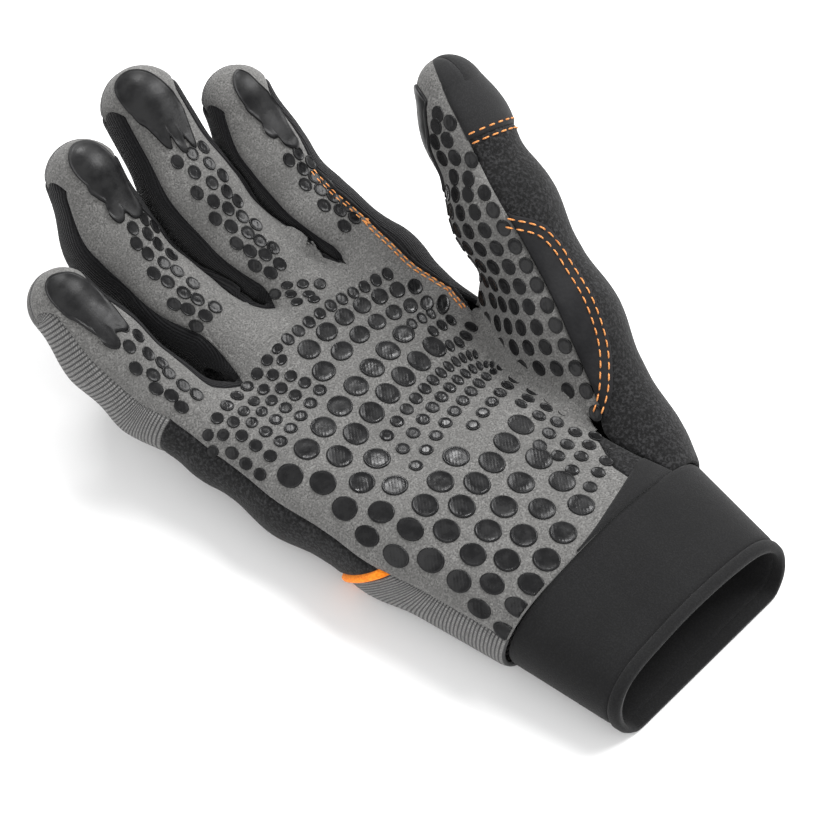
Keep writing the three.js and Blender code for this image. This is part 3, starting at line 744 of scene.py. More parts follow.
def slab(name, grid, normal, wall):
    """A closed sheet: a grid of points, its copy a wall below, and a band round its edge."""
    rows, cols = grid.shape[:2]
    k = np.arange(rows * cols).reshape(rows, cols)
    quads = grid_quads(k)
    rim = np.concatenate([k[0], k[1:, -1], k[-1, -2::-1], k[-2:0:-1, 0]])
    verts = grid.reshape(-1, 3)
    n = normal.reshape(-1, 3)
    p = verts[quads]
    if (np.cross(p[:, 2] - p[:, 0], p[:, 3] - p[:, 1]) * n[quads[:, 0]]).sum() < 0:
        quads = quads[:, ::-1]
        rim = rim[::-1]
    nxt = np.roll(rim, -1)
    n_top = len(verts)
    band = np.stack([nxt, rim, rim + n_top, nxt + n_top], 1)
    faces = np.concatenate([quads, quads[:, ::-1] + n_top, band])
    uv = np.concatenate([measured(grid)] * 2)[faces.ravel()]
    return link(name, np.concatenate([verts, verts - n * wall]), faces, uv)


def shell(name, grids, skin, wall, lift=0.0, gap=-0.2, tuck=0.45, soft=1.8, swell=None):
    """A closed cloth shell over skin grids: its outer face lifted off the skin and tucked in along its rim by
    the square of the nearness to it, its inner face a wall below, and a band that closes the rim."""
    verts, quads, corners = weld(grids)
    normal = slope(skin, verts)
    p = verts[quads]
    way = np.cross(p[:, 2] - p[:, 0], p[:, 3] - p[:, 1])
    if (way * normal[quads[:, 0]]).sum() < 0:
        quads = quads[:, ::-1]
        corners = corners[:, ::-1]
    a = quads.ravel()
    b = np.roll(quads, -1, axis=1).ravel()
    n = len(verts)
    keep = a != b
    code = a * n + b
    lone = keep & ~np.isin(code, (b * n + a)[keep])
    ra, rb = a[lone], b[lone]
    ca, cb = corners.ravel()[lone], np.roll(corners, -1, axis=1).ravel()[lone]
    e = unit(verts[rb] - verts[ra])
    inward = unit(np.cross(normal[ra], e))
    push = np.zeros_like(verts)
    np.add.at(push, ra, inward)
    np.add.at(push, rb, inward)
    size = np.linalg.norm(push, axis=1, keepdims=True)
    verts = verts + np.where(size > 0, push / np.maximum(size, 1), 0) * gap / 2
    near = to_rim(verts, verts[np.unique(ra)])
    sink = tuck * (1 - np.clip(near / soft, 0, 1)) ** 2
    rise = lift - sink if swell is None else lift - sink + swell(near, verts)
    outer = verts + normal * rise[:, None]
    outer[:, 2] = np.maximum(outer[:, 2], 0.0)
    inner = verts + normal * (lift - wall)
    inner[:, 2] = np.maximum(inner[:, 2], 0.05)
    faces = np.concatenate([quads, quads[:, ::-1] + n, np.stack([rb, ra, ra + n, rb + n], 1)])
    corner = np.concatenate([corners, corners[:, ::-1], np.stack([cb, ca, ca, cb], 1)])
    uv = np.concatenate([measured(g) for g in grids])[corner.ravel()]
    return link(name, np.concatenate([outer, inner]), faces, uv)


class Nodes:
    """Short calls for building one material's node tree."""

    def __init__(self, name, rough, **set_on):
        self.material = bpy.data.materials.new(name)
        self.material.use_nodes = True
        self.tree = self.material.node_tree
        self.shader = self.tree.nodes["Principled BSDF"]
        self.shader.inputs["Roughness"].default_value = rough
        for key, value in set_on.items():
            self.shader.inputs[key.replace("_", " ")].default_value = value

    def node(self, kind, inputs=None, **attributes):
        """A node with its attributes and its inputs, each a value or another node's output."""
        n = self.tree.nodes.new(kind)
        for key, value in attributes.items():
            setattr(n, key, value)
        for key, value in (inputs or {}).items():
            if isinstance(value, bpy.types.NodeSocket):
                self.tree.links.new(value, n.inputs[key])
            else:
                n.inputs[key].default_value = value
        return n

    def place(self, kind="Object"):
        """Object coordinates, in metres, or UV, in millimetres."""
        return self.node("ShaderNodeTexCoord").outputs[kind]

    def noise(self, vector, scale, detail=3.0, rough=0.55):
        """Noise from 0 to 1."""
        return self.node("ShaderNodeTexNoise", {"Vector": vector, "Scale": scale, "Detail": detail,
                                                "Roughness": rough}).outputs["Fac"]

    def math(self, operation, a, b=0.0):
        """One arithmetic step."""
        return self.node("ShaderNodeMath", {0: a, 1: b}, operation=operation).outputs[0]

    def ramp(self, value, lo, hi, a=0.0, b=1.0):
        """A value's range lo to hi, smoothly mapped to a to b."""
        n = self.node("ShaderNodeMapRange", {"Value": value, "From Min": lo, "From Max": hi,
                                             "To Min": a, "To Max": b}, interpolation_type="SMOOTHSTEP")
        return n.outputs["Result"]

    def ridges(self, value, pitch, shift=None):
        """Ridges along a value, one a pitch, from 0 in the valleys to 1 on the crests."""
        phase = self.math("MULTIPLY", value, math.pi / pitch)
        if shift is not None:
            phase = self.math("ADD", phase, shift)
        return self.math("ABSOLUTE", self.math("SINE", phase))

    def mix(self, fac, a, b):
        """A colour between two others, each a colour or an output."""
        n = self.node("ShaderNodeMix", data_type="RGBA")
        for key, value in ((0, fac), (6, a), (7, b)):
            if isinstance(value, bpy.types.NodeSocket):
                self.tree.links.new(value, n.inputs[key])
            else:
                n.inputs[key].default_value = value if key == 0 else (*value, 1.0)
        return n.outputs[2]

    def bump(self, height, distance, strength, on=None):
        """A bump of so many metres, on top of another where given."""
        inputs = {"Height": height, "Distance": distance, "Strength": strength}
        if on is not None:
            inputs["Normal"] = on
        return self.node("ShaderNodeBump", inputs).outputs["Normal"]

    def finish(self, colour, normal=None, rough=None):
        """The material, with its colour, normal and roughness on the shader."""
        for key, value in (("Base Color", colour), ("Normal", normal), ("Roughness", rough)):
            if value is not None:
                self.tree.links.new(value, self.shader.inputs[key])
        return self.material


def suede():
    """Grey synthetic suede: a fine short nap in mixed greys, darker where it is worn."""
    m = Nodes("grey_suede", 0.95, Sheen_Weight=0.12, Sheen_Roughness=0.5, Specular_IOR_Level=0.15)
    p = m.place()
    fine = m.noise(p, 1900, 2)
    nap = m.noise(p, 700, 4, 0.7)
    wide = m.noise(p, 60, 4)
    fibre = m.mix(m.ramp(fine, 0.34, 0.66), (0.078, 0.077, 0.075), (0.218, 0.215, 0.209))
    colour = m.mix(m.ramp(nap, 0.38, 0.62, 0, 0.7), fibre, (0.124, 0.122, 0.119))
    colour = m.mix(m.ramp(wide, 0.35, 0.65, 0, 0.3), colour, (0.098, 0.097, 0.094))
    normal = m.bump(nap, 0.0006, 0.6, m.bump(fine, 0.0002, 0.6))
    return m.finish(colour, normal)


def knit():
    """Ribbed grey knit: narrow ribs across the strip, each a row of small loops, with painted shade that
    darkens the valleys between the ribs and between the loops.
    """
    m = Nodes("ribbed_knit", 0.9, Sheen_Weight=0.12, Specular_IOR_Level=0.15)
    uv = m.node("ShaderNodeSeparateXYZ", {"Vector": m.place("UV")})
    wave = m.noise(m.place(), 120, 2)
    y = m.math("ADD", uv.outputs[1], m.math("MULTIPLY", m.math("SUBTRACT", wave, 0.5), 0.5))
    rib = m.ridges(y, 1.35)
    loop = m.ridges(uv.outputs[0], 0.75, m.math("MULTIPLY", y, 0.8))
    fleck = m.noise(m.place(), 1500, 3)
    # painted shade: the knit's colour below follows the ribs' and loops' height, darkest in the valleys
    # between them
    body = m.math("MULTIPLY", m.ramp(rib, 0.1, 0.8), m.ramp(loop, 0.0, 0.6, 0.45, 1.0))
    base = m.mix(body, (0.03, 0.031, 0.033), (0.235, 0.232, 0.228))
    colour = m.mix(m.ramp(fleck, 0.35, 0.7, 0, 0.6), base, (0.088, 0.087, 0.085))
    return m.finish(colour, m.bump(body, 0.0006, 0.8, m.bump(fleck, 0.0002, 0.4)))


def stretch():
    """Black stretch cloth with fine cords across the strip, with painted shade that darkens the grooves
    between the cords.
    """
    m = Nodes("black_stretch", 0.8, Sheen_Weight=0.06, Specular_IOR_Level=0.12)
    uv = m.node("ShaderNodeSeparateXYZ", {"Vector": m.place("UV")})
    cord = m.ridges(uv.outputs[0], 0.95)
    twill = m.ridges(uv.outputs[1], 0.7)
    fleck = m.noise(m.place(), 1500, 3)
    # painted shade: the colour is darkest in the grooves between the cords, where their height is least
    colour = m.mix(m.ramp(cord, 0.1, 0.9), (0.004, 0.004, 0.0045), (0.011, 0.011, 0.012))
    colour = m.mix(m.ramp(fleck, 0.45, 0.75, 0, 0.5), colour, (0.02, 0.02, 0.021))
    height = m.math("ADD", cord, m.math("MULTIPLY", twill, 0.3))
    return m.finish(colour, m.bump(height, 0.0004, 0.7))


def foam(name, light, dark, fleck_size, pile=0.0003):
    """Black foam-backed cloth: a light and a dark grey mixed by its pile, `pile` metres deep."""
    m = Nodes(name, 0.86, Sheen_Weight=0.08, Specular_IOR_Level=0.15)
    p = m.place()
    fleck = m.noise(p, fleck_size, 3, 0.65)
    wide = m.noise(p, 70, 3)
    colour = m.mix(m.ramp(fleck, 0.42, 0.68), (dark, dark, dark * 1.04), (light, light, light * 1.04))
    colour = m.mix(m.ramp(wide, 0.3, 0.7, 0, 0.3), colour, (dark * 0.7, dark * 0.7, dark * 0.72))
    return m.finish(colour, m.bump(fleck, pile, 0.6, m.bump(wide, 0.0012, 0.25)))


def leather():
    """Dark charcoal leather with a close grain."""
    m = Nodes("patch_leather", 0.75, Specular_IOR_Level=0.12)
    p = m.place()
    cell = m.node("ShaderNodeTexVoronoi", {"Vector": p, "Scale": 900.0}).outputs["Distance"]
    wide = m.noise(p, 90, 3)
    colour = m.mix(m.ramp(wide, 0.3, 0.7), (0.011, 0.011, 0.012), (0.019, 0.019, 0.02))
    return m.finish(colour, m.bump(cell, 0.00015, 0.5, m.bump(wide, 0.0008, 0.3)))


def rubber(name, lines, rough):
    """Black satin rubber, with fine moulded lines across it where `lines`, their bump, isn't 0."""
    m = Nodes(name, rough, Specular_IOR_Level=0.22)
    p = m.place()
    wide = m.noise(p, 300, 3)
    colour = m.mix(m.ramp(wide, 0.3, 0.7), (0.005, 0.005, 0.0055), (0.011, 0.011, 0.0115))
    normal = m.bump(wide, 0.0004, 0.3)
    if lines:
        lean = m.node("ShaderNodeMapping", {"Vector": p, "Rotation": (0, 0, math.radians(40))})
        xyz = m.node("ShaderNodeSeparateXYZ", {"Vector": lean.outputs["Vector"]})
        normal = m.bump(m.ridges(xyz.outputs[0], 0.0009), 0.00005, lines, normal)
    return m.finish(colour, normal, m.ramp(wide, 0.3, 0.7, rough - 0.05, rough + 0.1))


def orange(name, twist, deep, bright):
    """Orange thread or woven edging, its two tones mixed by the twist of its yarn."""
    m = Nodes(name, 0.7, Sheen_Weight=0.1, Specular_IOR_Level=0.2)
    p = m.place()
    ply = m.noise(p, twist, 2)
    return m.finish(m.mix(m.ramp(ply, 0.35, 0.65), deep, bright), m.bump(ply, 0.0002, 0.6))


# Grip dots on the palm, in rows from the little finger's side to the thumb's. Places and sizes in mm.
# Columns: first dot (x, y), the dot `step` further on, the dot twice `step` further on, step, dots in all
LARGE_DOT = 8.3
PALM_LARGE = [
    ((-7.8, 31.4), (13.7, 30.9), (29.0, 24.2), 3, 7),
    ((-10.1, 23.3), (12.7, 24.0), (27.1, 17.7), 3, 8),
    ((-41.2, 6.4), (-15.8, 11.4), (7.4, 14.6), 3, 8),
    ((-36.8, -2.2), (-11.2, 3.3), (10.8, 5.6), 3, 8),
    ((-38.4, -12.2), (-29.9, -10.7), (-21.3, -8.3), 1, 3),
    ((-40.7, -22.8), (-33.8, -21.7), (-25.2, -18.9), 1, 3),
    ((-39.6, -32.8), (-24.6, -29.8), (-7.2, -25.4), 2, 5),
    ((-34.6, -41.3), (-9.8, -35.7), (13.1, -31.5), 3, 7),
    ((-33.9, -51.2), (-18.6, -47.9), (-1.2, -44.4), 2, 6),
    ((-35.4, -60.1), (-21.9, -57.9), (-3.9, -54.6), 2, 6),
    ((-35.2, -69.5), (-22.9, -67.7), (-6.0, -64.2), 2, 6),
]
SMALL_DOT = 4.4
PALM_SMALL = [
    ((-47.0, 33.2), (-9.7, 38.0), (22.5, 33.7), 8, 18),
    ((-48.9, 29.5), (-35.1, 30.7), (-20.6, 33.4), 3, 8),
    ((-46.0, 24.7), (-31.3, 27.3), (-17.5, 29.2), 3, 7),
    ((-45.6, 19.6), (-30.6, 22.4), (-16.4, 24.7), 3, 7),
    ((-45.5, 14.1), (-30.2, 16.8), (-15.4, 19.7), 3, 7),
    ((-13.7, -5.0), (9.0, -1.6), (22.2, -3.4), 5, 12),
    ((-14.2, -11.6), (10.3, -6.9), (23.2, -9.0), 5, 12),
    ((-16.4, -18.7), (9.3, -12.9), (25.2, -12.6), 5, 12),
    ((4.2, -21.4), (18.1, -19.1), (27.1, -18.6), 3, 7),
    ((18.8, -26.4), (21.8, -26.4), (24.8, -25.6), 1, 3),
    ((19.1, -32.9), (23.0, -32.2), (25.4, -31.5), 1, 3),
    ((11.7, -39.9), (16.7, -38.9), (21.4, -37.7), 1, 4),
    ((12.7, -45.8), (17.6, -44.9), (22.7, -43.4), 1, 4),
    ((11.6, -52.0), (17.1, -50.6), (21.9, -49.3), 1, 4),
    ((10.5, -59.6), (16.0, -57.8), (20.8, -56.6), 1, 4),
    ((20.9, 9.5), (24.1, 9.0), (27.2, 8.4), 1, 3),
    ((20.7, 2.7), (23.4, 1.7), (26.5, 1.8), 1, 4),
    ((18.8, 15.9), (22.1, 15.0), (25.0, 14.2), 1, 3),
    ((1.1, 44.9), (4.9, 41.7), (7.8, 37.3), 1, 2),
    ((-1.2, 51.5), (1.7, 47.9), (5.1, 43.9), 1, 3),
    ((2.7, 50.4), (6.2, 47.4), (9.8, 44.0), 1, 3),
]
# Grip dots on the fingers. Columns: stations along the finger, then each column's angle at the first and
# the last of them
FINGER_DOT = 4.6
FINGER_DOTS = {
    "middle": [((0.78, 0.67, 0.55, 0.40, 0.20), ((-14, -26), (8, -10), (27, 2))),
               ((0.73, 0.61, 0.48, 0.28, 0.13), ((-4, -22), (18, -8)))],
    "ring": [((0.70, 0.55, 0.40, 0.22), ((12, -20), (34, -4))),
             ((0.62, 0.47, 0.28, 0.16), ((0, -32), (20, -16), (38, 0)))],
    "index": [((0.60, 0.47, 0.32, 0.15), ((0, -12), (16, 4))),
              ((0.53, 0.41, 0.22), ((8, 0), (24, 10)))],
    "little": [((0.63, 0.43, 0.20), ((0, -14), (22, 6))),
               ((0.72, 0.53, 0.32, 0.13), ((-12, -20), (16, 6)))],
}
# Grip dots on the thumb: a lattice of rows along it and columns round it, each with its first, the step to
# the next and how many, then single ones above the knuckle, each with its station and angle
THUMB_DOT = 5.0
THUMB_ROW = (3.2, 0.165, 13)
THUMB_COLUMN = (46, 19, 6)
THUMB_TIP_DOTS = [(3.38, 34), (3.46, 13), (3.54, 47), (3.64, 27), (3.7, 7), (3.88, 28), (3.94, 8), (4.12, 40),
                  (4.18, 19), (4.42, 26)]
SLIM = 0.78           # the fingers' and the thumb's dots are this share as wide across as along
DOT_WIDE = 0.84       # widest share of a dot's size, and of the gap along its row
DOT_TALL = (0.55, 0.97)  # least and most height across the row, as shares of a dot's size
ROW_CLEAR = 0.82      # tallest share of the way to the nearest dot of another row


def palm_rows(rows, size):
    """Centres, row directions and widths of charted rows: a quadratic through each row's three dots, the dots
    as wide along the row as the gap between them leaves, and as tall across it as the other rows leave."""
    centre, way, wide, number = [], [], [], []
    for i, (first, half, full, step, count) in enumerate(rows):
        q = (np.arange(count) / step)[:, None]
        a, b, c = (np.array(v, float) for v in (first, half, full))
        xy = a * ((q - 1) * (q - 2) / 2) + b * (q * (2 - q)) + c * (q * (q - 1) / 2)
        gap = np.linalg.norm(np.diff(xy, axis=0), axis=1)
        gap = (np.concatenate([gap[:1], gap]) + np.concatenate([gap, gap[-1:]])) / 2
        centre.append(xy)
        way.append(unit(np.gradient(xy, axis=0)))
        wide.append(DOT_WIDE * np.minimum(size, gap))
        number.append(np.full(count, i))
    centre, way, wide, number = (np.concatenate(part) for part in (centre, way, wide, number))
    apart = np.linalg.norm(centre[:, None] - centre[None], axis=2)
    apart[number[:, None] == number[None]] = np.inf
    tall = np.clip(ROW_CLEAR * apart.min(axis=1), DOT_TALL[0] * size, DOT_TALL[1] * size)
    return centre, way, wide, tall


def frames(skin, centre, way, wide, tall):
    """Each dot's centre, normal, row direction and cross direction, with its widths along those two."""
    n = slope(skin, centre)
    u = unit(way - n * (way * n).sum(-1, keepdims=True))
    return centre, n, u, np.cross(n, u), wide + 0 * centre[:, 0], tall + 0 * centre[:, 0]


def palm_dots(rows, size):
    """Frames of the palm's dots: each centre is cast straight up onto the skin."""
    centre, way, wide, tall = palm_rows(rows, size)
    o = np.column_stack([centre, np.full(len(centre), 15.0)])
    c = cast(hand_skin, o, np.broadcast_to([0, 0, 1.0], o.shape))
    return frames(hand_skin, c, np.column_stack([way, 0 * wide]), wide, tall)


def finger_dots():
    """Frames of the fingers' dots."""
    out = []
    for name, lattices in FINGER_DOTS.items():
        for stations, columns in lattices:
            v = np.array(stations)
            share = (v[0] - v) / (v[0] - v[-1])
            for top, foot in columns:
                c = cast(hand_skin, *finger_ray(name, v, top + (foot - top) * share))
                t = heading(BONES[name], v * (len(BONES[name]) - 1))
                out.append(frames(hand_skin, c, t, FINGER_DOT, FINGER_DOT * SLIM))
    return [np.concatenate(part) for part in zip(*out)]


def thumb_dots():
    """Frames of the thumb's dots: the lattice leans a little, and stops short of the panel's edges."""
    places = []
    top, pitch, rows = THUMB_ROW
    start, turn, columns = THUMB_COLUMN
    for row in range(rows):
        for column in range(columns):
            angle = start - turn * column - 0.8 * max(row - 6, 0)
            s = top - pitch * row - 0.0028 * (angle - start)
            if thumb_edge(s, 2) + 7 < angle < thumb_edge(s, 1) - 6:
                places.append((s, angle))
    s, a = np.array(places + THUMB_TIP_DOTS, float).T
    c = cast(thumb_skin, *thumb_ray(s, a))
    return frames(thumb_skin, c, heading(THUMB, s), THUMB_DOT, THUMB_DOT * SLIM)


# A dot's section from its rim to its middle: share of the radius, height in mm
DOT_SECTION = [(1.0, -0.35), (1.0, 0.14), (0.96, 0.36), (0.9, 0.42), (0.83, 0.34), (0.78, 0.28), (0.4, 0.31),
               (0.0, 0.32)]


def dot_mesh(name, at, skin, sides):
    """Moulded dots: every ring of the section carried round an ellipse in the dot's own plane, its points
    then dropped onto the skin's curve."""
    c, n, u, w, wide, tall = at
    a = np.arange(sides) * 2 * math.pi / sides
    section = np.array(DOT_SECTION)
    r = section[:-1, 0][None, :, None, None] / 2
    rim = (u[:, None, None] * (np.cos(a)[None, None, :, None] * wide[:, None, None, None])
           + w[:, None, None] * (np.sin(a)[None, None, :, None] * tall[:, None, None, None])) * r
    flat = c[:, None, None] + rim
    body = drop(skin, flat, n[:, None, None]) + n[:, None, None] * section[:-1, 1][None, :, None, None]
    body[..., 1] = np.maximum(body[..., 1], CUFF_SEAM_Y + 0.3)
    count, rings = len(c), len(section) - 1
    cap = c + n * section[-1, 1]
    verts = np.concatenate([body.reshape(count, -1, 3), cap[:, None]], 1).reshape(-1, 3)
    start = (np.arange(count) * (rings * sides + 1))[:, None, None]
    faces = (ring_quads(rings, sides)[None] + start).reshape(-1, 4).tolist()
    faces += (cap_fan(rings, sides)[None] + start).reshape(-1, 3).tolist()
    faces += (start[:, :, 0] + np.arange(sides)[::-1][None]).tolist()
    return link(name, verts, faces)


def drop(skin, points, way):
    """Points dropped along a direction onto a skin, by three steps of the field."""
    for _ in range(3):
        points = points - way * np.clip(skin(points), -2.5, 2.5)[..., None]
    return points


# A moulded pad's section from its rim inwards: share of the outline, height in mm. The rest of it is level.
PAD_RIM = [(1.0, -0.5), (1.0, 0.3375), (0.985, 0.7125), (0.965, 0.84), (0.94, 0.7875), (0.915, 0.6375),
           (0.89, 0.555)]
PAD_LEVEL = 0.525
PAD_RINGS = 14        # rings of its level part


def pad_mesh(name, outline, centre, ray, skin):
    """A moulded pad: its outline in a skin's own two coordinates, filled with shrinking copies of the outline
    about its middle, with a rounded bead along the rim."""
    closed = curve(outline, 9, True)
    n = len(closed)
    rim = np.array(PAD_RIM)
    share = np.concatenate([rim[:, 0], np.linspace(0.86, 0.0, PAD_RINGS)])
    high = np.concatenate([rim[:, 1], np.full(PAD_RINGS, PAD_LEVEL)])
    ring = np.array(centre) + (closed[None] - np.array(centre)) * share[:, None, None]
    o, d = ray(ring[..., 0], ring[..., 1])
    p = cast(skin, o.reshape(-1, 3), d.reshape(-1, 3)).reshape(o.shape)
    p = p + slope(skin, p) * high[:, None, None]
    rows = len(share) - 1
    faces = ring_quads(rows, n).tolist() + cap_fan(rows, n).tolist() + [list(range(n))[::-1]]
    return link(name, np.concatenate([p[:-1].reshape(-1, 3), p[-1:, 0]]), faces)


# Outlines of the moulded tip pads: station along the finger (past 1 its tip turns over), angle
TIP_PADS = {
    "middle": [(1.64, -28), (1.52, -36), (1.32, -40), (1.06, -39), (0.95, -34), (0.91, -27), (0.87, -22),
               (0.83, -17), (0.82, -10), (0.85, -5), (0.80, -2), (0.79, 5), (0.83, 10), (0.79, 15),
               (0.80, 21), (0.84, 26), (0.88, 30), (0.92, 33), (1.03, 30), (1.28, 23), (1.50, 14),
               (1.66, -1), (1.69, -16)],
    "ring": [(1.62, -16), (1.44, -23), (1.19, -22), (0.97, -13), (0.90, -3), (0.85, 6), (0.81, 1), (0.76, 4),
             (0.76, 12), (0.79, 20), (0.74, 24), (0.73, 34), (0.76, 45), (0.84, 51), (0.92, 55), (1.09, 49),
             (1.44, 41), (1.67, 29), (1.77, 15), (1.76, -3)],
    "little": [(1.59, -17), (1.48, -28), (1.26, -36), (0.97, -36), (0.87, -27), (0.80, -22), (0.76, -19),
               (0.72, -21), (0.68, -18), (0.66, -11), (0.68, -4), (0.72, 0), (0.71, 7), (0.69, 14),
               (0.70, 21), (0.75, 26), (0.82, 35), (0.91, 41), (1.12, 36), (1.38, 27), (1.56, 8),
               (1.62, -5)],
    "index": [(1.58, -2), (1.40, -12), (1.20, -15), (0.98, -12), (0.89, -3), (0.84, 2), (0.79, -1), (0.75, 3),
              (0.74, 9), (0.68, 8), (0.64, 12), (0.62, 19), (0.64, 26), (0.69, 29), (0.76, 33), (0.86, 40),
              (0.98, 36), (1.23, 25), (1.49, 18), (1.62, 9)],
}
# The thumb's pad, along the side that faces the palm, and its middle: station along the thumb, angle
THUMB_PAD = [(4.98, 12), (4.70, 7), (4.40, 5), (4.10, 2), (3.86, -7), (3.62, -14), (3.44, -22), (3.38, -31),
             (3.48, -39), (3.36, -46), (3.34, -55), (3.50, -63), (3.90, -68), (4.40, -66), (4.90, -60),
             (5.25, -45), (5.38, -24), (5.25, -4)]
THUMB_PAD_MIDDLE = (4.3, -30)
# The leather patch's outer edge: station along the thumb, angle
PATCH_EDGE = [(1.34, 50), (1.43, 62), (1.55, 74), (1.75, 87), (2.05, 93), (2.33, 96), (2.56, 95), (2.75, 85),
              (2.92, 62), (2.96, 56)]


def tip_pad(name):
    """A fingertip's moulded pad."""
    middle = (1.2, float(np.mean(curve(TIP_PADS[name], 9, True)[:, 1])))
    return pad_mesh("tip_pad_" + name, TIP_PADS[name], middle, lambda v, a: finger_ray(name, v, a), hand_skin)


def stitches(name, path, normal, pitch=3.1, length=2.3, thick=0.5):
    """Thread along a path that lies on the cloth: each stitch an arched capsule that dips at both ends."""
    run = np.concatenate([[0], np.cumsum(np.linalg.norm(np.diff(path, axis=0), axis=1))])
    number = int(run[-1] // pitch)
    mid = (np.arange(number) + 0.5) * run[-1] / number
    rings, sides = 7, 6
    t = np.linspace(-1, 1, rings)
    s = mid[:, None] + t[None] * length / 2
    at = np.stack([np.interp(s, run, path[:, k]) for k in range(3)], -1)
    up = unit(np.stack([np.interp(s, run, normal[:, k]) for k in range(3)], -1))
    ahead = unit(np.gradient(at, axis=1))
    side = unit(np.cross(up, ahead))
    up = np.cross(ahead, side)
    arch = 0.55 * thick * (1 - t ** 4) - 0.12
    fat = thick / 2 * np.sqrt(np.clip(1 - np.abs(t) ** 5, 0.05, 1))
    a = np.arange(sides) * 2 * math.pi / sides
    across_thread = np.cos(a)[None, None, :, None]
    off_cloth = np.sin(a)[None, None, :, None]
    ring = side[:, :, None] * across_thread + up[:, :, None] * off_cloth
    p = at[:, :, None] + up[:, :, None] * arch[None, :, None, None] + ring * fat[None, :, None, None]
    k = np.arange(sides)
    start = (np.arange(number) * rings * sides)[:, None]
    faces = (ring_quads(rings, sides)[None] + start[:, None]).reshape(-1, 4).tolist()
    faces += (start + k[::-1][None]).tolist() + (start + ((rings - 1) * sides + k)[None]).tolist()
    return link(name, p.reshape(-1, 3), faces)


def beside(path, skin, offset, lift):
    """The line at a distance beside a path on a skin, to its left as seen from outside, with its normals."""
    n = slope(skin, path)
    ahead = unit(np.gradient(path, axis=0))
    p = drop(skin, path + np.cross(n, ahead) * offset, n)
    n = slope(skin, p)
    return p + n * lift, n


def sewn_rows(name, path, skin, offsets, lift, **thread):
    """Rows of stitches beside a path on the cloth."""
    for k, offset in enumerate(offsets):
        dress(stitches(name + "_" + "ab"[k], *beside(path, skin, offset, lift), **thread), "piping", "thread")


def cord(name, path, normal, radius, sides=8):
    """A sewn edging: a flattened round cord along a path."""
    side = unit(np.cross(normal, unit(np.gradient(path, axis=0))))
    a = np.arange(sides) * 2 * math.pi / sides
    k = np.arange(len(path))
    taper = np.minimum(1, np.minimum(k, k[::-1]) / 4 + 0.25)[:, None, None]
    p = path[:, None] + taper * radius * (side[:, None] * np.cos(a)[None, :, None]
                                          + normal[:, None] * 0.8 * np.sin(a)[None, :, None])
    last = (len(path) - 1) * sides
    faces = ring_quads(len(path), sides).tolist()
    faces += [list(range(sides))[::-1], list(range(last, last + sides))]
    return link(name, p.reshape(-1, 3), faces)


def patch_grid():
    """Rays of the leather patch over the thumb's saddle, from the border seam to its own curved edge."""
    edge = curve(PATCH_EDGE, 8)
    low = np.array([border(k) for k in edge[:, 0]]) + 1
    return thumb_fan(edge[:, 0], low, np.maximum(edge[:, 1], low + 2), 40)


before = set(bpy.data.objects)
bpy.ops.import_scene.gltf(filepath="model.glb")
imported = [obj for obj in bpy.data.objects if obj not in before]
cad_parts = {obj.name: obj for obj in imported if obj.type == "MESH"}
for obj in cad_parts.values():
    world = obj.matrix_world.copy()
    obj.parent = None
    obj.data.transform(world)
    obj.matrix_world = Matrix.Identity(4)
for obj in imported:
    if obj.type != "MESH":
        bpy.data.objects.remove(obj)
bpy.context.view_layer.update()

look = {
    "suede": suede(),
    "rib_knit": knit(),
    "stretch": stretch(),
    "neoprene": foam("black_terry", 0.032, 0.006, 1100, 0.0006),
    "cuff": foam("cuff_neoprene", 0.015, 0.009, 2200),
    "smooth_foam": foam("charcoal_foam", 0.024, 0.016, 2200, 0.0001),
    "edging": foam("black_edging", 0.012, 0.006, 2500),
    "patch_leather": leather(),
    "grip_rubber": rubber("grip_rubber", 0.3, 0.25),
    "pad_rubber": rubber("pad_rubber", 0, 0.38),
    "piping": orange("orange_edging", 1600, (0.86, 0.19, 0.008), (1.0, 0.30, 0.016)),
    "thread": orange("orange_thread", 3000, (0.52, 0.15, 0.03), (0.85, 0.40, 0.13)),
}


def dress(obj, slot, finish=None, node=None):
    """Gives a piece its finish and its body, and hides the CAD node that it stands for."""
    obj.data.materials.append(look[finish or slot])
    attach(obj, "root")
    if node:
        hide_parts(node)
    return obj


def panel(name, rays, skin=hand_skin, wall=CLOTH, **shape):
    """A cloth shell over one or more grids of rays."""
    return shell(name, [skin_grid(skin, r) for r in rays], skin, wall, **shape)


front_top = top_row(front_ray, [FRONT_COLS] * 4, CROTCH_FRONT, 0.6, 0.35)
back_top = top_row(back_ray, [LITTLE_COLS] + [FRONT_COLS] * 3, CROTCH_BACK, 0.75, 0.3)


def front_angle(y, ulnar, radial):
    """Angle of the palm's rays: down round the little finger's side, and to the fold on the thumb's side."""
    return FRONT_ULNAR * ulnar + palm_seam(y) * radial


palm = [skin_grid(hand_skin, body_grid(front_top, np.linspace(0, 1, 120), front_angle))]
palm += [skin_grid(hand_skin, finger_grid(front_ray, name, FRONT_COLS)) for name in FINGERS]
dress(shell("palm_suede", palm, hand_skin, CLOTH), "suede", node="palm_panel")

for name in FINGERS:
    rays = finger_grid(back_ray, name, LITTLE_COLS if name == "little" else FRONT_COLS)
    dress(panel("finger_knit_" + name, [rays]), "rib_knit", node="finger_back_" + name)

for i, pair in enumerate(["little_ring", "ring_middle", "middle_index"]):
    strip = panel("side_stretch_" + pair, [fourchette_grid(i)], wall=THIN)
    dress(strip, "stretch", node="fourchette_" + pair)
dress(panel("side_stretch_index", [index_side_grid()]), "stretch", node="index_side_panel")


def bead(near, verts):
    """Height of a round bead by the distance from its edge."""
    return 1.5 * np.sqrt(np.clip(1 - (1 - near / 1.4) ** 2, 0, 1)) - 0.4


def back_piece(name, lo, hi, count, seam, **shape):
    """A panel of the back of the hand between two stations, out to a seam on the thumb's side."""
    def angle(y, ulnar, radial):
        return 180 + (180 + FRONT_ULNAR) * ulnar + (seam(y) - 180) * radial
    return panel(name, [body_grid(back_top, np.linspace(lo, hi, count), angle)], **shape)


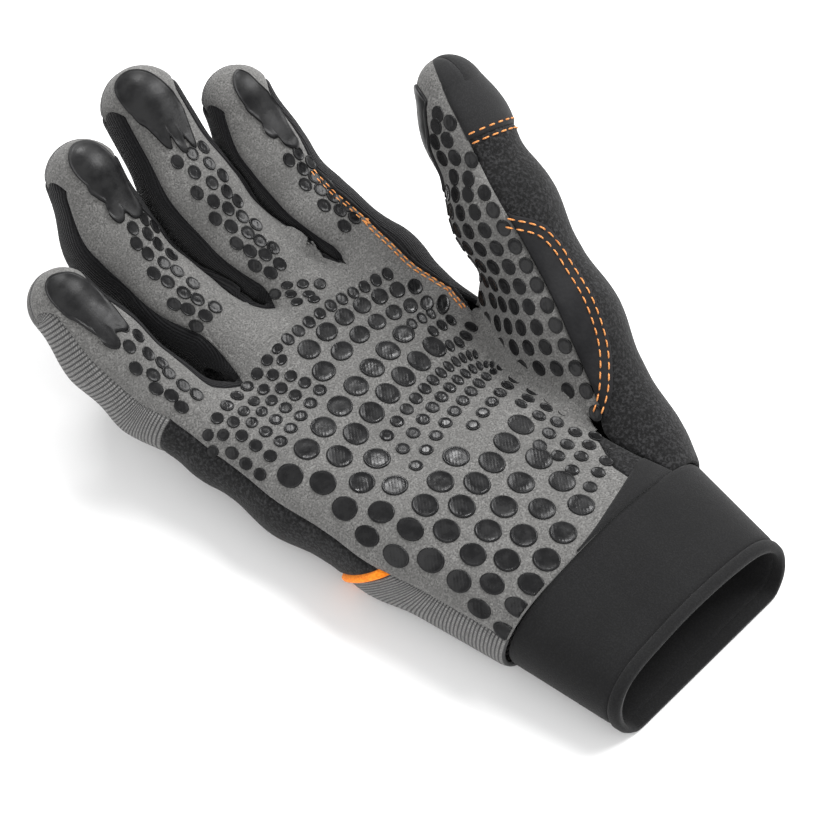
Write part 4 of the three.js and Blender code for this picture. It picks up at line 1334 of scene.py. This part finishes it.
dress(back_piece("knuckle_foam", PIPING_V[1], 1, 70, lambda y: SIDE_BACK), "neoprene", node="knuckle_panel")
dress(back_piece("back_knit", 0, PIPING_V[0], 50, side_front), "rib_knit", node="back_panel")
dress(back_piece("piping_bead", *PIPING_V, 9, lambda y: np.maximum(SIDE_BACK, side_front(y)),
                 tuck=0.0, swell=bead), "piping", node="piping")

dress(panel("thumb_suede", [thumb_front_grid()], thumb_skin), "suede", node="thumb_front")
lower = thumb_back_grid(np.linspace(0, KNUCKLE, 110))
upper = thumb_back_grid(np.concatenate([np.linspace(KNUCKLE, 5, 36)[:-1], TIP_S]))
wrap = thumb_fan(TIP_S, np.interp(TIP_S, *np.array(TIP_WRAP).T), thumb_edge(TIP_S, 1), 20)
dress(panel("thumb_foam", [lower], thumb_skin), "neoprene", node="thumb_back")
dress(panel("thumb_tip_foam", [upper, wrap], thumb_skin, lift=0.3), "neoprene", "smooth_foam")
dress(panel("thumb_heel_foam", [heel_grid()], lift=0.35, gap=0), "neoprene")
dress(slab("palm_valley_suede", *valley(), 0.8), "suede")
dress(panel("thumb_leather", [patch_grid()], thumb_skin, THIN, lift=1.1, gap=0),
      "patch_leather", node="thumb_patch")
patch_path = cast(thumb_skin, *thumb_ray(*curve(PATCH_EDGE, 8).T))
sewn_rows("patch_stitches", patch_path, thumb_skin, (1.3, 3.6), lift=1.15)
knuckle_angle = np.linspace(border(KNUCKLE) + 1, float(thumb_edge(KNUCKLE, 3)) - 2, 60)
knuckle_path = cast(thumb_skin, *thumb_ray(np.full(60, KNUCKLE), knuckle_angle))
sewn_rows("knuckle_stitches", knuckle_path, thumb_skin, (1.4, -1.4), lift=0.15)
palm_edge = palm[0][:, -1][palm[0][:, -1, 1] > 7]
index_path = np.concatenate([palm_edge[:-1], palm[4][FINGER_V < 0.5][:, -1]])
sewn_rows("index_stitches", index_path, hand_skin, (1.5, 2.7), lift=0.05, pitch=2.6, length=2.1)
dress(cord("index_edging", *beside(index_path, hand_skin, 0.3, 0.1), 0.65), "stretch", "edging")
for name in FINGERS:
    dress(tip_pad(name), "grip_rubber", "pad_rubber", "pad_" + name)
dress(pad_mesh("tip_pad_thumb", THUMB_PAD, THUMB_PAD_MIDDLE, thumb_ray, thumb_skin),
      "grip_rubber", "pad_rubber")
dress(dot_mesh("palm_dots_large", palm_dots(PALM_LARGE, LARGE_DOT), hand_skin, 28), "grip_rubber")
dress(dot_mesh("palm_dots_small", palm_dots(PALM_SMALL, SMALL_DOT), hand_skin, 20), "grip_rubber")
dress(dot_mesh("finger_dots", finger_dots(), hand_skin, 20), "grip_rubber")
dress(dot_mesh("thumb_dots", thumb_dots(), thumb_skin, 20), "grip_rubber")

wall = cuff_grid(np.linspace(0, HEM_T, 44))
dress(shell("cuff_foam", [wall], cuff_skin, NEOPRENE), "neoprene", "cuff", "cuff")
dress(panel("cuff_lip", [lip_grid()], wall=1.2, lift=0.75, gap=0, tuck=0.6), "neoprene", "cuff")
rim = cuff_grid(np.linspace(HEM_T, 1, 9))
dress(shell("cuff_rim", [rim], cuff_skin, NEOPRENE, lift=0.4, tuck=0.9, soft=1.4),
      "neoprene", "cuff", "cuff_hem")


# Lights: name, direction's azimuth and height in degrees, distance, size and power
LIGHTS = [("key", -8, 50, 1.5, 0.8, 24), ("glint", 58, 43, 1.2, 0.24, 5.6), ("fill", 205, 45, 1.4, 1.2, 7)]
FLOOR_TONE = 0.95
WORLD_STRENGTH = 0.75
# The camera: azimuth and height in degrees, distance and the height that it looks at in metres, lens in mm
VIEW_AZ, VIEW_EL, VIEW_FAR, VIEW_AT, LENS = -46.8, 55, 0.873, 0.025, 135


def stand(name, data, at, back, far):
    """An object that stands `far` from a point in one direction and looks at it."""
    obj = bpy.data.objects.new(name, data)
    obj.location = at + back * far
    obj.rotation_euler = back.to_track_quat("Z", "Y").to_euler()
    bpy.context.scene.collection.objects.link(obj)
    return obj


def studio():
    """White floor, one soft key from the right, a small light that glints on the palm's dots, a wide fill
    and a white world."""
    bpy.context.scene.view_settings.view_transform = "Standard"
    bpy.ops.mesh.primitive_plane_add(size=6)
    floor = bpy.context.object
    floor.name = "floor"
    m = Nodes("white_floor", 0.9, Specular_IOR_Level=0.1)
    m.shader.inputs["Base Color"].default_value = (FLOOR_TONE, FLOOR_TONE, FLOOR_TONE, 1)
    floor.data.materials.append(m.material)
    world = bpy.data.worlds.new("white_world")
    bpy.context.scene.world = world
    world.use_nodes = True
    world.node_tree.nodes["Background"].inputs["Color"].default_value = (1, 1, 1, 1)
    world.node_tree.nodes["Background"].inputs["Strength"].default_value = WORLD_STRENGTH
    for name, az, el, far, size, power in LIGHTS:
        light = bpy.data.lights.new(name, "AREA")
        light.size = size
        light.energy = power
        az, el = math.radians(az), math.radians(el)
        back = Vector((math.cos(az) * math.cos(el), math.sin(az) * math.cos(el), math.sin(el)))
        stand(name, light, Vector((0, 0, 0)), back, far)


def camera():
    """A long lens that looks down from the little finger's side of the cuff."""
    data = bpy.data.cameras.new("camera")
    data.lens = LENS
    data.sensor_width = 36
    data.clip_start = 0.01
    az, el = math.radians(VIEW_AZ), math.radians(VIEW_EL)
    back = Vector((math.sin(az) * math.cos(el), -math.cos(az) * math.cos(el), math.sin(el)))
    bpy.context.scene.camera = stand("camera", data, Vector((0, 0, VIEW_AT)), back, VIEW_FAR)


studio()
camera()
